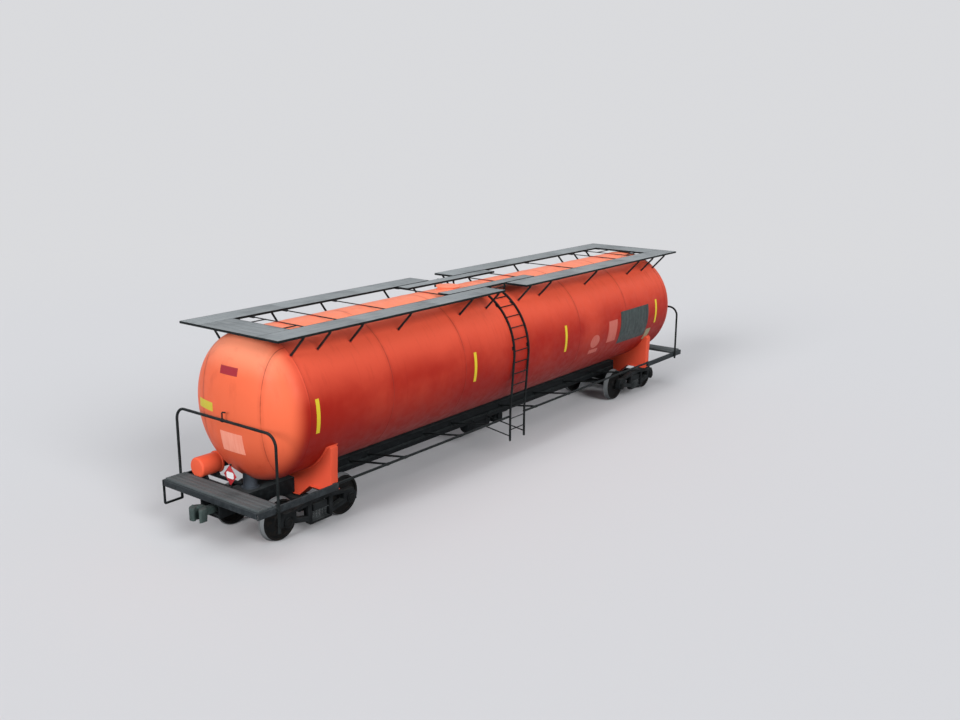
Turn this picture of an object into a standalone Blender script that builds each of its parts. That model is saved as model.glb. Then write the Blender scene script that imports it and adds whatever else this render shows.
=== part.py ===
"""Railway tank car: a round-ended tank on two saddles over a centre sill and two swivelling trucks.

The car lies along X with its middle at the origin, +Z is up and the wheel flanges reach z = 0.
End "a" is at -X and end "b" at +X; the "near" side is at -Y and the "far" side at +Y.
All lengths are in metres.
"""
import math

import bpy
import bmesh
from mathutils import Matrix, Vector

ENDS = (("a", -1), ("b", 1))
SIDES = (("near", -1), ("far", 1))

# Clearances
SEAT = 0.0003            # between pieces that touch
PIN_GAP = 0.0005         # round a pin or a journal
SWING_GAP = 0.008        # between pieces that move past each other
OVERRUN = 0.02           # how far a cutter runs past its work

# Wheelsets
TREAD_RADIUS = 0.4572
FLANGE_HEIGHT = 0.0254
FLANGE_WIDTH = 0.034
FLANGE_TIP = 0.012
WHEEL_BACKS = 1.353      # between the backs of the two wheels
RIM_WIDTH = 0.145
RIM_DEPTH = 0.058
TREAD_FALL = 0.006
WEB_THICKNESS = 0.030
WEB_LEAN = 0.035
HUB_RADIUS = 0.138
HUB_PROUD = 0.020
AXLE_RADIUS = 0.084
WHEEL_SEAT_RADIUS = 0.098
JOURNAL_RADIUS = 0.072
JOURNAL_SHOULDER = 0.060   # from the wheel's hub to the journal
CAP_RADIUS = 0.086
CAP_LENGTH = 0.035

# Trucks
TRUCK_INSET = 0.680        # of a truck's middle, from the end of the tank's straight part
AXLE_SPACING = 1.83
BEARING_GAP = 0.0165       # between a journal's shoulder and its bearing housing
FRAME_THICKNESS = 0.150
FRAME_TOP = 0.800
FRAME_END_TOP = 0.700
FRAME_BOTTOM = 0.235
FRAME_LEG = 0.045
FRAME_LEG_BOTTOM = 0.410
COLUMN_WIDTH = 0.100
BOTTOM_CHORD = 0.050
TOP_CHORD = 0.090
BOTTOM_HALF = 0.310
WINDOW_HALF = 0.260
FRAME_LAP = 0.012
BEARING_RADIUS = 0.115
BEARING_LENGTH = 0.170
SPRING_RADIUS = 0.046
SPRING_WIRE = 0.020
SPRING_COUNT = 5
SPRING_TURNS = 3
SPRING_TOP = 0.500
BOLSTER_HALF_WIDTH = 0.200
BOLSTER_TOP = 0.650
BOLSTER_BELLY = 0.360
BOLSTER_BELLY_HALF = 0.600
BOLSTER_INSET = 0.143      # of its lower corner, from the side frame's middle
BOLSTER_LIP = 0.057        # past the side frame's middle
CENTRE_PLATE_RADIUS = 0.190
CENTRE_PLATE_Z = 0.680
BOWL_WALL = 0.030
KINGPIN_RADIUS = 0.035
KINGPIN_DEPTH = 0.180
SIDE_BEARING_Y = 0.635
SIDE_BEARING_SIZE = 0.140
SIDE_BEARING_TOP = 0.710

# Centre sill and saddles
SILL_HALF_WIDTH = 0.300
SILL_BOTTOM = 0.735
SILL_TOP = 1.055
SILL_WALL = 0.030
CARRIER_LENGTH = 0.120
FILLER_HALF_LENGTH = 0.300
SADDLE_WIDTH = 0.200
SADDLE_SHIFT = 0.065       # of the saddle's middle towards the car's middle
SADDLE_FLANGE = 0.020
SADDLE_FLANGE_LIP = 0.050
SADDLE_BOTTOM = 0.700
SADDLE_FLAT_HALF = 0.500
SADDLE_WING_INNER = 0.820
SADDLE_WING_Z = 0.980
SADDLE_WING_GAP = 0.090    # to the body's side
SADDLE_SHOULDER_Z = 1.445
SADDLE_TIP_DEPTH = 0.090
SADDLE_PAD = 0.014
SADDLE_PAD_LIP = 0.070

# Tank
TANK_RADIUS = 1.620
HALF_STRAIGHT = 7.550
TANK_BOTTOM_Z = 1.180
TANK_SEGMENTS = 60
HEAD_DEPTH = 0.800
HEAD_FULLNESS = 2.3
HEAD_RINGS = 6
SADDLE_TIP_STEPS = 10      # polygon steps from the tank's bottom to a saddle's tip
FOOT_STEPS = 7             # polygon steps from the tank's top to a walkway bracket's foot
SUMP_RADIUS = 0.150
SUMP_REACH = 0.310         # past the head's rim

# Platforms at the ends
PLATFORM_LENGTH = 0.547
BODY_HALF_WIDTH = 1.540
SIDE_BOARD_TOP = 1.165
SIDE_BOARD_BOTTOM = 1.025
SIDE_BOARD_WIDTH = 0.050
SIDE_BOARD_WALL = 0.012
SIDE_BOARD_LAP = 0.035     # past the saddle's middle
BOARD_LUG_LENGTH = 0.100
FASCIA_WALL = 0.030
FASCIA_TOP = 1.160
FASCIA_BOTTOM = 1.035
DECK_THICKNESS = 0.045
DECK_INSET = 0.050
DECK_BOARDS = 4
GROOVE_WIDTH = 0.012
GROOVE_DEPTH = 0.008

# Side rails under the tank
RAIL_RADIUS = 0.030
RAIL_Z = 1.150
STAY_RADIUS = 0.024
STAY_SILL_Z = 0.960
STAY_SHARES = (-0.6914, -0.6119, -0.3464, -0.2000, 0.0781, 0.2914, 0.5020, 0.6914)  # of the straight half

# Ladders
LADDER_WIDTH = 0.620
LADDER_MIDDLE_X = -0.310
LADDER_RAIL_WIDTH = 0.045
LADDER_RAIL_DEPTH = 0.040
LADDER_STANDOFF = 0.008
LADDER_FOOT_Z = 0.495
LADDER_FOOT_INSET = 0.020  # from the body's side to the rails' inner face
LADDER_KNEE_Z = 1.300
LADDER_CONTACT_STEPS = 16  # polygon steps from the tank's top to the lowest touch
RUNG_RADIUS = 0.014
RUNG_PITCH = 0.300
LADDER_STRUT_RADIUS = 0.016
LADDER_STRUT_RISE = 0.130
LADDER_STRUT_SILL_Z = 0.800

# Walkway on top
WALK_RISE = 0.075          # of the planks' top over the tank's
WALK_THICKNESS = 0.045
WALK_OVERHANG = 0.706      # past the tank's straight part
WALK_HALF_WIDTH = 1.531
WALK_INNER_Y = 0.893
WALK_END_WIDTH = 0.876
WALK_BOARDS = 4
WALK_GAP_NEAR_X = -0.885
WALK_GAP_FAR_X = -0.976
WALK_GAP_END_X = 0.034
MIDDLE_START_X = -2.240
MIDDLE_END_X = 1.360
MIDDLE_INNER_Y = 0.500
MIDDLE_OUTER_Y = 0.840
ARM_WIDTH = 0.050
ARM_DEPTH = 0.036
ARM_INNER_Y = 0.860
ARM_OUTER_Y = 1.500
BRACE_RADIUS = 0.027
FOOT_SIZE = 0.072
FOOT_THICKNESS = 0.012
END_FRAME_PAST = 0.010     # the end of the tank's straight part
END_FRAME_BEFORE = 0.725   # the end of the tank's straight part
END_BEAM_Y = 0.500
END_BEAM_INSET = 0.076
WALK_FRAME_SHARES = (-0.7784, -0.5760, -0.2844, 0.0385, 0.1642, 0.4681, 0.7869)  # of the straight half
LONE_BRACKET_X = -1.088

# Handrails and steps
HANDRAIL_CLEARANCE = 0.110 # from the head's middle to the rail's line
HANDRAIL_INSET = 0.050     # from the deck's back edge
HANDRAIL_RADIUS = 0.030
HANDRAIL_TOP = 2.655
HANDRAIL_BEND = 0.270
HANDRAIL_BEND_STEPS = 6
HANDRAIL_FOOT_Z = 0.980
STEP_Z = 0.605
STEP_REACH = 0.440
STEP_TOP_Z = 1.120
LAMP_HOOK_Y = 0.040
LAMP_HOOK_HEIGHT = 0.170
LAMP_HOOK_REACH = 0.100
LAMP_HOOK_RADIUS = 0.016

# Couplers
COUPLER_Z = 0.876
COUPLER_PIVOT_INSET = 0.557  # from the platform's front
COUPLER_PIN_RADIUS = 0.040
SHANK_HALF_WIDTH = 0.075
SHANK_HALF_HEIGHT = 0.075
SHANK_REACH = 0.103        # past the platform's front
COUPLER_HEAD_LENGTH = 0.290
HEAD_HALF_WIDTH = 0.200
HEAD_HALF_HEIGHT = 0.140
COUPLER_PIN_HEAD = 0.018
COUPLER_HEAD_SHARES = (    # along the head and across half its width, seen from above
    (0.00, 0.45), (0.22, 0.62), (0.30, 1.00), (0.72, 1.00), (0.92, 0.86), (0.74, 0.52), (0.50, 0.34),
    (0.46, -0.10), (0.62, -0.16), (0.80, 0.02), (0.94, 0.00), (1.00, -0.20), (1.00, -0.60), (0.80, -0.86),
    (0.50, -0.94), (0.24, -0.74), (0.00, -0.45),
)

# Gear under the middle and on the ends
RESERVOIR_START_X = -0.640
RESERVOIR_END_X = 0.400
RESERVOIR_RADIUS = 0.165
RESERVOIR_Z = 0.560
RESERVOIR_DOME = 0.080
HANGER_WIDTH = 0.060
HANGER_INSET = 0.240
VALVE_START_X = 0.560
VALVE_END_X = 0.980
VALVE_HALF_WIDTH = 0.140
VALVE_BOTTOM = 0.430
VALVE_FLANGE = 0.020
VALVE_LIP = 0.030
PIPE_RADIUS = 0.028
PIPE_Z = 0.880
PIPE_INSET = 0.270         # of its ends, from the trucks' middles
BRAKE_LENGTH = 0.560
BRAKE_BEHIND = 0.030       # the deck's back edge
BRAKE_INSET = 0.425        # of its axis, from the body's side
BRAKE_Z = 1.360
BRAKE_RADIUS = 0.225
BRAKE_RIM = 0.018
BRAKE_RIM_WIDTH = 0.040
BRAKE_FOOT_INSET = 0.140
BRAKE_FOOT_WIDTH = 0.060
PLACARD_BEHIND = 0.060     # the deck's back edge
PLACARD_Z = 1.450
PLACARD_HALF_WIDTH = 0.200
PLACARD_HALF_HEIGHT = 0.225
PLACARD_THICKNESS = 0.008
POST_RADIUS = 0.020
POST_TOP = 1.690

# Manway on top
MANWAY_X = -1.250
MANWAY_RADIUS = 0.290
MANWAY_BORE = 0.240
MANWAY_DEPTH = 0.600
MANWAY_RISE = 0.050        # over the tank's top
MANWAY_LIP = 0.025
LID_THICKNESS = 0.026
LID_HINGE_RADIUS = 0.016
LID_HINGE_HALF = 0.100
LID_EAR = 0.040

# Faceting
FINE = 24
MEDIUM = 16
COARSE = 12
THIN = 6
SMOOTH_ANGLE = math.radians(35)

# Worked out from the sizes above
AXLE_Z = TREAD_RADIUS + FLANGE_HEIGHT
TRUCK_X = HALF_STRAIGHT - TRUCK_INSET
HALF_AXLE_SPACING = AXLE_SPACING / 2
JOURNAL_START = WHEEL_BACKS / 2 + RIM_WIDTH + HUB_PROUD + JOURNAL_SHOULDER
FRAME_Y = JOURNAL_START + BEARING_GAP + BEARING_LENGTH / 2
FRAME_OUTER_Y = FRAME_Y + FRAME_THICKNESS / 2
FRAME_INNER_Y = FRAME_Y - FRAME_THICKNESS / 2
TANK_AXIS_Z = TANK_BOTTOM_Z + TANK_RADIUS
TANK_TOP = TANK_AXIS_Z + TANK_RADIUS
STEP_ANGLE = math.tau / TANK_SEGMENTS
LADDER_LEAVE_STEPS = int(math.asin(MIDDLE_OUTER_Y / TANK_RADIUS) / STEP_ANGLE)  # where its rails leave the tank
SADDLE_X = TRUCK_X - SADDLE_SHIFT
SADDLE_WING_OUTER = BODY_HALF_WIDTH - SADDLE_WING_GAP
SIDE_BOARD_INNER_X = SADDLE_X - SIDE_BOARD_LAP
HANDRAIL_X = HALF_STRAIGHT + HEAD_DEPTH + HANDRAIL_CLEARANCE
PLATFORM_BACK = HANDRAIL_X - HANDRAIL_INSET
PLATFORM_FRONT = PLATFORM_BACK + PLATFORM_LENGTH
SILL_END = PLATFORM_FRONT - FASCIA_WALL - SEAT
COUPLER_PIVOT_X = PLATFORM_FRONT - COUPLER_PIVOT_INSET
SHANK_END = PLATFORM_FRONT + SHANK_REACH
LADDER_X = (LADDER_MIDDLE_X - LADDER_WIDTH / 2, LADDER_MIDDLE_X + LADDER_WIDTH / 2)
WALK_TOP = TANK_TOP + WALK_RISE
WALK_UNDER = WALK_TOP - WALK_THICKNESS
WALK_HALF_LENGTH = HALF_STRAIGHT + WALK_OVERHANG
MANWAY_TOP = TANK_TOP + MANWAY_RISE
ROD_RADIUS = (WALK_UNDER - TANK_TOP) / 2 - SEAT
ROD_Z = TANK_TOP + SEAT + ROD_RADIUS
RAIL_Y = BODY_HALF_WIDTH - RAIL_RADIUS
HANDRAIL_Y = BODY_HALF_WIDTH + HANDRAIL_RADIUS + SEAT

COLOURS = {
    "tank_orange": ((0.70, 0.075, 0.030), 0.42, 0.0),
    "frame_black": ((0.020, 0.026, 0.027), 0.55, 0.1),
    "walkway_grey": ((0.26, 0.30, 0.31), 0.75, 0.0),
    "cast_iron": ((0.045, 0.050, 0.050), 0.60, 0.6),
    "wheel_steel": ((0.16, 0.17, 0.17), 0.50, 0.8),
    "placard_red": ((0.60, 0.050, 0.040), 0.45, 0.0),
}


def material(name):
    """Return the Principled material of that name, made on first use."""
    found = bpy.data.materials.get(name)
    if found:
        return found
    colour, roughness, metallic = COLOURS[name]
    made = bpy.data.materials.new(name)
    made.use_nodes = True
    shader = made.node_tree.nodes["Principled BSDF"]
    shader.inputs["Base Color"].default_value = (*colour, 1.0)
    shader.inputs["Roughness"].default_value = roughness
    shader.inputs["Metallic"].default_value = metallic
    made.diffuse_color = (*colour, 1.0)
    return made


def solid(mesh_data, name="blank"):
    """Put a bmesh into the scene as an object whose faces point out."""
    bmesh.ops.recalc_face_normals(mesh_data, faces=mesh_data.faces)
    mesh = bpy.data.meshes.new(name)
    mesh_data.to_mesh(mesh)
    mesh_data.free()
    body = bpy.data.objects.new(name, mesh)
    bpy.context.collection.objects.link(body)
    return body


def prism(outline, axis, start, end):
    """Extrude a flat outline along an axis.

    The outline's points are (y, z) along X, (x, z) along Y and (x, y) along Z.
    """
    place = {
        "X": lambda u, v, w: (w, u, v),
        "Y": lambda u, v, w: (u, w, v),
        "Z": lambda u, v, w: (u, v, w),
    }[axis]
    data = bmesh.new()
    rings = [[data.verts.new(place(u, v, w)) for u, v in outline] for w in (start, end)]
    data.faces.new(rings[0])
    data.faces.new(reversed(rings[1]))
    count = len(outline)
    for i in range(count):
        j = (i + 1) % count
        data.faces.new((rings[0][i], rings[1][i], rings[1][j], rings[0][j]))
    return solid(data)


def block(low, high):
    """Make a box between two corners, given in any order."""
    (x0, y0, z0), (x1, y1, z1) = low, high
    return prism(((y0, z0), (y1, z0), (y1, z1), (y0, z1)), "X", x0, x1)


def turned(profile, axis, centre, segments=COARSE, closed=False):
    """Turn a profile of (along, radius) points about an axis through a centre.

    Points of zero radius become a single vertex. A closed profile makes a ring.
    """
    along = {"X": Vector((1, 0, 0)), "Y": Vector((0, 1, 0)), "Z": Vector((0, 0, 1))}[axis]
    first = {"X": Vector((0, 0, -1)), "Y": Vector((0, 0, -1)), "Z": Vector((1, 0, 0))}[axis]
    second = along.cross(first)
    centre = Vector(centre)
    data = bmesh.new()
    rings = []
    for step, radius in profile:
        middle = centre + along * step
        if radius == 0:
            rings.append([data.verts.new(middle)])
            continue
        rings.append([
            data.verts.new(middle + (first * math.cos(turn) + second * math.sin(turn)) * radius)
            for turn in (math.tau * k / segments for k in range(segments))
        ])
    pairs = list(zip(rings, rings[1:]))
    if closed:
        pairs.append((rings[-1], rings[0]))
    for low, high in pairs:
        for k in range(segments):
            n = (k + 1) % segments
            corners = [low[k % len(low)], low[n % len(low)], high[n % len(high)], high[k % len(high)]]
            data.faces.new(dict.fromkeys(corners))
    if not closed:
        for ring in (rings[0], rings[-1]):
            if len(ring) > 1:
                data.faces.new(ring)
    return solid(data)


def tube(path, radius, sides=THIN):
    """Sweep a round bar along a path of points, mitred at its corners."""
    points = [Vector(point) for point in path]
    directions = [(b - a).normalized() for a, b in zip(points, points[1:])]
    side = directions[0].orthogonal().normalized()
    data = bmesh.new()
    rings = []
    for i, point in enumerate(points):
        before = directions[max(i - 1, 0)]
        after = directions[min(i, len(directions) - 1)]
        plane = (before + after).normalized()
        across = before.cross(side)
        ring = []
        for k in range(sides):
            turn = math.tau * k / sides
            offset = (side * math.cos(turn) + across * math.sin(turn)) * radius
            slide = offset.dot(plane) / before.dot(plane)
            ring.append(data.verts.new(point + offset - before * slide))
        rings.append(ring)
        side = (side - after * side.dot(after)).normalized()
    for low, high in zip(rings, rings[1:]):
        for k in range(sides):
            n = (k + 1) % sides
            data.faces.new((low[k], low[n], high[n], high[k]))
    data.faces.new(rings[0])
    data.faces.new(rings[-1])
    return solid(data)


def combine(body, others, operation):
    """Apply a Boolean with each of the others in turn and remove them."""
    for other in others:
        step = body.modifiers.new("step", "BOOLEAN")
        step.operation = operation
        step.solver = "EXACT"
        step.object = other
    evaluated = body.evaluated_get(bpy.context.evaluated_depsgraph_get())
    mesh = bpy.data.meshes.new_from_object(evaluated)
    body.modifiers.clear()
    body.data = mesh
    for other in others:
        bpy.data.objects.remove(other)
    return body


def fuse(*bodies):
    """Join overlapping solids into one."""
    return combine(bodies[0], bodies[1:], "UNION")


def cut(body, *cutters):
    """Take the cutters' space out of a solid."""
    return combine(body, cutters, "DIFFERENCE")


def finish(body, name, colour, smooth=False, origin=None):
    """Name a finished sub-part, colour it and set its origin."""
    body.name = name
    body.data.name = name
    body.data.materials.clear()
    body.data.materials.append(material(colour))
    if smooth:
        body.data.shade_smooth()
        body.data.set_sharp_from_angle(angle=SMOOTH_ANGLE)
    if origin is not None:
        body.data.transform(Matrix.Translation(-Vector(origin)))
        body.location = origin
    return body


def mirrored(points):
    """Follow half an outline with its mirror image across u = 0, in reverse."""
    return list(points) + [(-u, v) for u, v in reversed(points)]


def tank_point(steps, radius):
    """Give (y, z) at a tank polygon's corner, counted from the top towards +Y."""
    turn = steps * STEP_ANGLE
    return radius * math.sin(turn), TANK_AXIS_Z + radius * math.cos(turn)


def planked(low, high, top, bottom, boards):
    """Outline of a deck of boards, with a groove between each two."""
    pitch = (high - low) / boards
    outline = [(low, bottom), (low, top)]
    for i in range(1, boards):
        seam = low + pitch * i
        for offset, depth in ((-1, 0), (-1, 1), (1, 1), (1, 0)):
            outline.append((seam + offset * GROOVE_WIDTH / 2, top - depth * GROOVE_DEPTH))
    return outline + [(high, top), (high, bottom)]


def build_tank():
    """Make the shell and the two dished heads."""
    shell = turned(
        ((-HALF_STRAIGHT, TANK_RADIUS), (HALF_STRAIGHT, TANK_RADIUS)),
        "X", (0, 0, TANK_AXIS_Z), TANK_SEGMENTS,
    )
    well = turned(((TANK_TOP - MANWAY_DEPTH, MANWAY_BORE), (TANK_TOP + OVERRUN, MANWAY_BORE)),
                  "Z", (MANWAY_X, 0, 0), FINE)
    finish(cut(shell, well), "tank_shell", "tank_orange", smooth=True)
    power = 2 / HEAD_FULLNESS
    for end, sign in ENDS:
        profile = []
        for i in range(HEAD_RINGS):
            turn = math.pi / 2 * i / HEAD_RINGS
            profile.append((
                sign * (HALF_STRAIGHT + SEAT + HEAD_DEPTH * math.sin(turn) ** power),
                TANK_RADIUS * math.cos(turn) ** power,
            ))
        profile.append((sign * (HALF_STRAIGHT + SEAT + HEAD_DEPTH), 0))
        head = turned(profile, "X", (0, 0, TANK_AXIS_Z), TANK_SEGMENTS)
        sump = turned(
            ((SILL_TOP + SEAT, SUMP_RADIUS), (TANK_AXIS_Z - TANK_RADIUS / 2, SUMP_RADIUS)),
            "Z", (sign * (HALF_STRAIGHT + SUMP_REACH), 0, 0), COARSE,
        )
        finish(fuse(head, sump), f"tank_head_{end}", "tank_orange", smooth=True)


def build_saddle(end, sign):
    """Make the cradle plate that carries the tank, with its flange and pad."""
    inner = TANK_RADIUS + SEAT
    straight_down = TANK_SEGMENTS // 2
    first = straight_down - SADDLE_TIP_STEPS
    arc = [tank_point(step, inner) for step in range(first, straight_down + 1)]
    flange_low = SADDLE_BOTTOM
    side = SILL_HALF_WIDTH + SEAT
    web_half = [
        tank_point(straight_down, inner),
        *reversed(arc[:-1]),
        tank_point(first, inner + SADDLE_TIP_DEPTH),
        (SADDLE_WING_OUTER, SADDLE_SHOULDER_Z),
        (SADDLE_WING_OUTER, SADDLE_WING_Z),
        (SADDLE_WING_INNER, SADDLE_WING_Z),
        (SADDLE_FLAT_HALF, flange_low),
        (side, flange_low),
        (side, SILL_TOP + SEAT),
    ]
    web = prism(web_half + [(-u, v) for u, v in reversed(web_half[1:])], "X",
                sign * (SADDLE_X - SADDLE_WIDTH / 2), sign * (SADDLE_X + SADDLE_WIDTH / 2))
    bodies = [web]
    reach = SADDLE_WIDTH / 2 + SADDLE_FLANGE_LIP
    under = [(side, flange_low), (SADDLE_FLAT_HALF, flange_low), (SADDLE_WING_INNER, SADDLE_WING_Z),
             (SADDLE_WING_OUTER, SADDLE_WING_Z)]
    strip = under + [(u, v + SADDLE_FLANGE) for u, v in reversed(under)]
    for mirror in (-1, 1):
        bodies.append(prism([(mirror * u, v) for u, v in strip], "X",
                            sign * (SADDLE_X - reach), sign * (SADDLE_X + reach)))
    last = straight_down + SADDLE_TIP_STEPS
    pad = [tank_point(step, inner) for step in range(first, last + 1)]
    pad += [tank_point(step, inner + SADDLE_PAD) for step in range(last, first - 1, -1)]
    reach = SADDLE_WIDTH / 2 + SADDLE_PAD_LIP
    bodies.append(prism(pad, "X", sign * (SADDLE_X - reach), sign * (SADDLE_X + reach)))
    finish(fuse(*bodies), f"saddle_{end}", "tank_orange")


def build_center_sill():
    """Make the open-bottomed sill with its centre plates, kingpins and coupler pins."""
    inner = SILL_HALF_WIDTH - SILL_WALL
    section = mirrored([
        (SILL_HALF_WIDTH, SILL_TOP), (SILL_HALF_WIDTH, SILL_BOTTOM),
        (inner, SILL_BOTTOM), (inner, SILL_TOP - SILL_WALL),
    ])
    bodies = [prism(section, "X", -SILL_END, SILL_END)]
    shank_low = COUPLER_Z - SHANK_HALF_HEIGHT
    lap = SILL_WALL / 2
    for _, sign in ENDS:
        x = sign * TRUCK_X
        bodies.append(block((x - FILLER_HALF_LENGTH, -inner - lap, SILL_BOTTOM),
                            (x + FILLER_HALF_LENGTH, inner + lap, SILL_TOP - lap)))
        bodies.append(turned(((CENTRE_PLATE_Z, CENTRE_PLATE_RADIUS), (SILL_BOTTOM + lap, CENTRE_PLATE_RADIUS)),
                             "Z", (x, 0, 0), FINE))
        bodies.append(turned(((CENTRE_PLATE_Z - KINGPIN_DEPTH, KINGPIN_RADIUS), (SILL_BOTTOM, KINGPIN_RADIUS)),
                             "Z", (x, 0, 0), THIN))
        bodies.append(block((sign * (SILL_END - CARRIER_LENGTH), -inner - lap, SILL_BOTTOM),
                            (sign * SILL_END, inner + lap, shank_low - SWING_GAP)))
        pin = ((shank_low - COUPLER_PIN_HEAD - SWING_GAP, COUPLER_PIN_RADIUS + COUPLER_PIN_HEAD),
               (shank_low - SWING_GAP, COUPLER_PIN_RADIUS + COUPLER_PIN_HEAD),
               (shank_low - SWING_GAP, COUPLER_PIN_RADIUS),
               (SILL_TOP - lap, COUPLER_PIN_RADIUS))
        bodies.append(turned(pin, "Z", (sign * COUPLER_PIVOT_X, 0, 0), COARSE))
    finish(fuse(*bodies), "center_sill", "frame_black")


def build_platform(end, sign):
    """Make the end sill, its plank deck and the two side boards."""
    inner_y = BODY_HALF_WIDTH - SIDE_BOARD_WIDTH - SEAT
    channel = (
        (PLATFORM_FRONT, FASCIA_BOTTOM), (PLATFORM_FRONT, FASCIA_TOP),
        (PLATFORM_BACK, FASCIA_TOP), (PLATFORM_BACK, FASCIA_TOP - FASCIA_WALL),
        (PLATFORM_FRONT - FASCIA_WALL, FASCIA_TOP - FASCIA_WALL),
        (PLATFORM_FRONT - FASCIA_WALL, FASCIA_BOTTOM),
    )
    sill = prism([(sign * u, v) for u, v in channel], "Y", -inner_y, inner_y)
    bracket = block(
        (sign * PLATFORM_BACK, -SILL_HALF_WIDTH, SILL_TOP + SEAT),
        (sign * (PLATFORM_BACK + FASCIA_WALL), SILL_HALF_WIDTH, FASCIA_TOP - FASCIA_WALL / 2),
    )
    finish(fuse(sill, bracket), f"end_sill_{end}", "frame_black")

    front = PLATFORM_FRONT - DECK_INSET
    deck = planked(PLATFORM_BACK, front, FASCIA_TOP + SEAT + DECK_THICKNESS, FASCIA_TOP + SEAT, DECK_BOARDS)
    half = BODY_HALF_WIDTH - DECK_INSET
    finish(prism([(sign * u, v) for u, v in deck], "Y", -half, half), f"platform_deck_{end}", "walkway_grey")

    wall = SIDE_BOARD_WALL
    inside = BODY_HALF_WIDTH - SIDE_BOARD_WIDTH
    board = (
        (BODY_HALF_WIDTH, SIDE_BOARD_BOTTOM), (BODY_HALF_WIDTH, SIDE_BOARD_TOP),
        (inside, SIDE_BOARD_TOP), (inside, SIDE_BOARD_TOP - wall),
        (BODY_HALF_WIDTH - wall, SIDE_BOARD_TOP - wall), (BODY_HALF_WIDTH - wall, SIDE_BOARD_BOTTOM + wall),
        (inside, SIDE_BOARD_BOTTOM + wall), (inside, SIDE_BOARD_BOTTOM),
    )
    lug_outer = BODY_HALF_WIDTH - wall / 2
    for side, across in SIDES:
        channel = prism([(across * u, v) for u, v in board], "X",
                        sign * SIDE_BOARD_INNER_X, sign * PLATFORM_FRONT)
        lug = block((sign * SIDE_BOARD_INNER_X, across * (SADDLE_WING_OUTER + SEAT), SIDE_BOARD_BOTTOM),
                    (sign * (SIDE_BOARD_INNER_X + BOARD_LUG_LENGTH), across * lug_outer, SIDE_BOARD_TOP))
        finish(fuse(channel, lug), f"side_board_{side}_{end}", "frame_black")


def build_side_rail(side, across):
    """Make the two pipes between the side boards and the ladder, each with its stays."""
    gap = LADDER_RAIL_WIDTH / 2 + SEAT
    parts = (
        ("a", -SIDE_BOARD_INNER_X + SEAT, LADDER_X[0] - gap),
        ("b", LADDER_X[1] + gap, SIDE_BOARD_INNER_X - SEAT),
    )
    for end, start, stop in parts:
        bodies = [tube(((start, across * RAIL_Y, RAIL_Z), (stop, across * RAIL_Y, RAIL_Z)), RAIL_RADIUS)]
        for x in (HALF_STRAIGHT * share for share in STAY_SHARES if start < HALF_STRAIGHT * share < stop):
            bodies.append(tube(((x, across * RAIL_Y, RAIL_Z),
                                (x, across * (SILL_HALF_WIDTH - OVERRUN), STAY_SILL_Z)), STAY_RADIUS))
        rail = cut(fuse(*bodies), sill_envelope())
        finish(rail, f"side_rail_{side}_{end}", "frame_black", smooth=True)


def sill_envelope():
    """Make a cutter that keeps a seat's gap round the centre sill."""
    return block((-SILL_END, -SILL_HALF_WIDTH - SEAT, SILL_BOTTOM - OVERRUN),
                 (SILL_END, SILL_HALF_WIDTH + SEAT, SILL_TOP + SEAT))


def ladder_line(offset):
    """Points (y, z) of a ladder rail's line, from the foot to the top, at an offset outwards."""
    radius = TANK_RADIUS + LADDER_STANDOFF + offset
    foot_y = BODY_HALF_WIDTH - LADDER_FOOT_INSET + offset
    line = [(foot_y, LADDER_FOOT_Z), (foot_y, LADDER_KNEE_Z)]
    line += [tank_point(step, radius) for step in range(LADDER_CONTACT_STEPS, LADDER_LEAVE_STEPS - 1, -1)]
    edge = MIDDLE_OUTER_Y + SEAT + offset
    return line + [(edge, WALK_UNDER - LADDER_RAIL_DEPTH), (edge, WALK_TOP)]


def along_line(line, pitch):
    """Walk along a line of points and give a point at each pitch."""
    places = []
    left = pitch
    for (u0, v0), (u1, v1) in zip(line, line[1:]):
        length = math.hypot(u1 - u0, v1 - v0)
        while left < length:
            share = left / length
            places.append((u0 + (u1 - u0) * share, v0 + (v1 - v0) * share))
            left += pitch
        left -= length
    return places


def build_ladder(side, across):
    """Make a ladder that follows the tank's side, with its rungs, feet and struts."""
    inner = ladder_line(0)
    outer = ladder_line(LADDER_RAIL_DEPTH)
    middle = ladder_line(LADDER_RAIL_DEPTH / 2)
    outline = [(across * u, v) for u, v in inner + outer[::-1]]
    half = LADDER_RAIL_WIDTH / 2
    bodies = [prism(outline, "X", x - half, x + half) for x in LADDER_X]
    for y, z in along_line(middle, RUNG_PITCH):
        bodies.append(tube(((LADDER_X[0], across * y, z), (LADDER_X[1], across * y, z)), RUNG_RADIUS))
    foot_low = LADDER_STANDOFF + LADDER_RAIL_DEPTH / 2
    for x in LADDER_X:
        for steps in (LADDER_CONTACT_STEPS - 2, LADDER_LEAVE_STEPS + 2):
            turn = steps * STEP_ANGLE
            pad = block((x - half, -half, TANK_RADIUS + SEAT), (x + half, half, TANK_RADIUS + foot_low))
            pad.data.transform(Matrix.Rotation(-across * turn, 4, "X"))
            pad.data.transform(Matrix.Translation((0, 0, TANK_AXIS_Z)))
            bodies.append(pad)
        strut_z = LADDER_FOOT_Z + LADDER_STRUT_RISE
        bodies.append(tube(((x, across * middle[0][0], strut_z),
                            (x, across * (SILL_HALF_WIDTH - OVERRUN), LADDER_STRUT_SILL_Z)),
                           LADDER_STRUT_RADIUS))
    finish(cut(fuse(*bodies), sill_envelope()), f"ladder_{side}", "frame_black")


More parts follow.
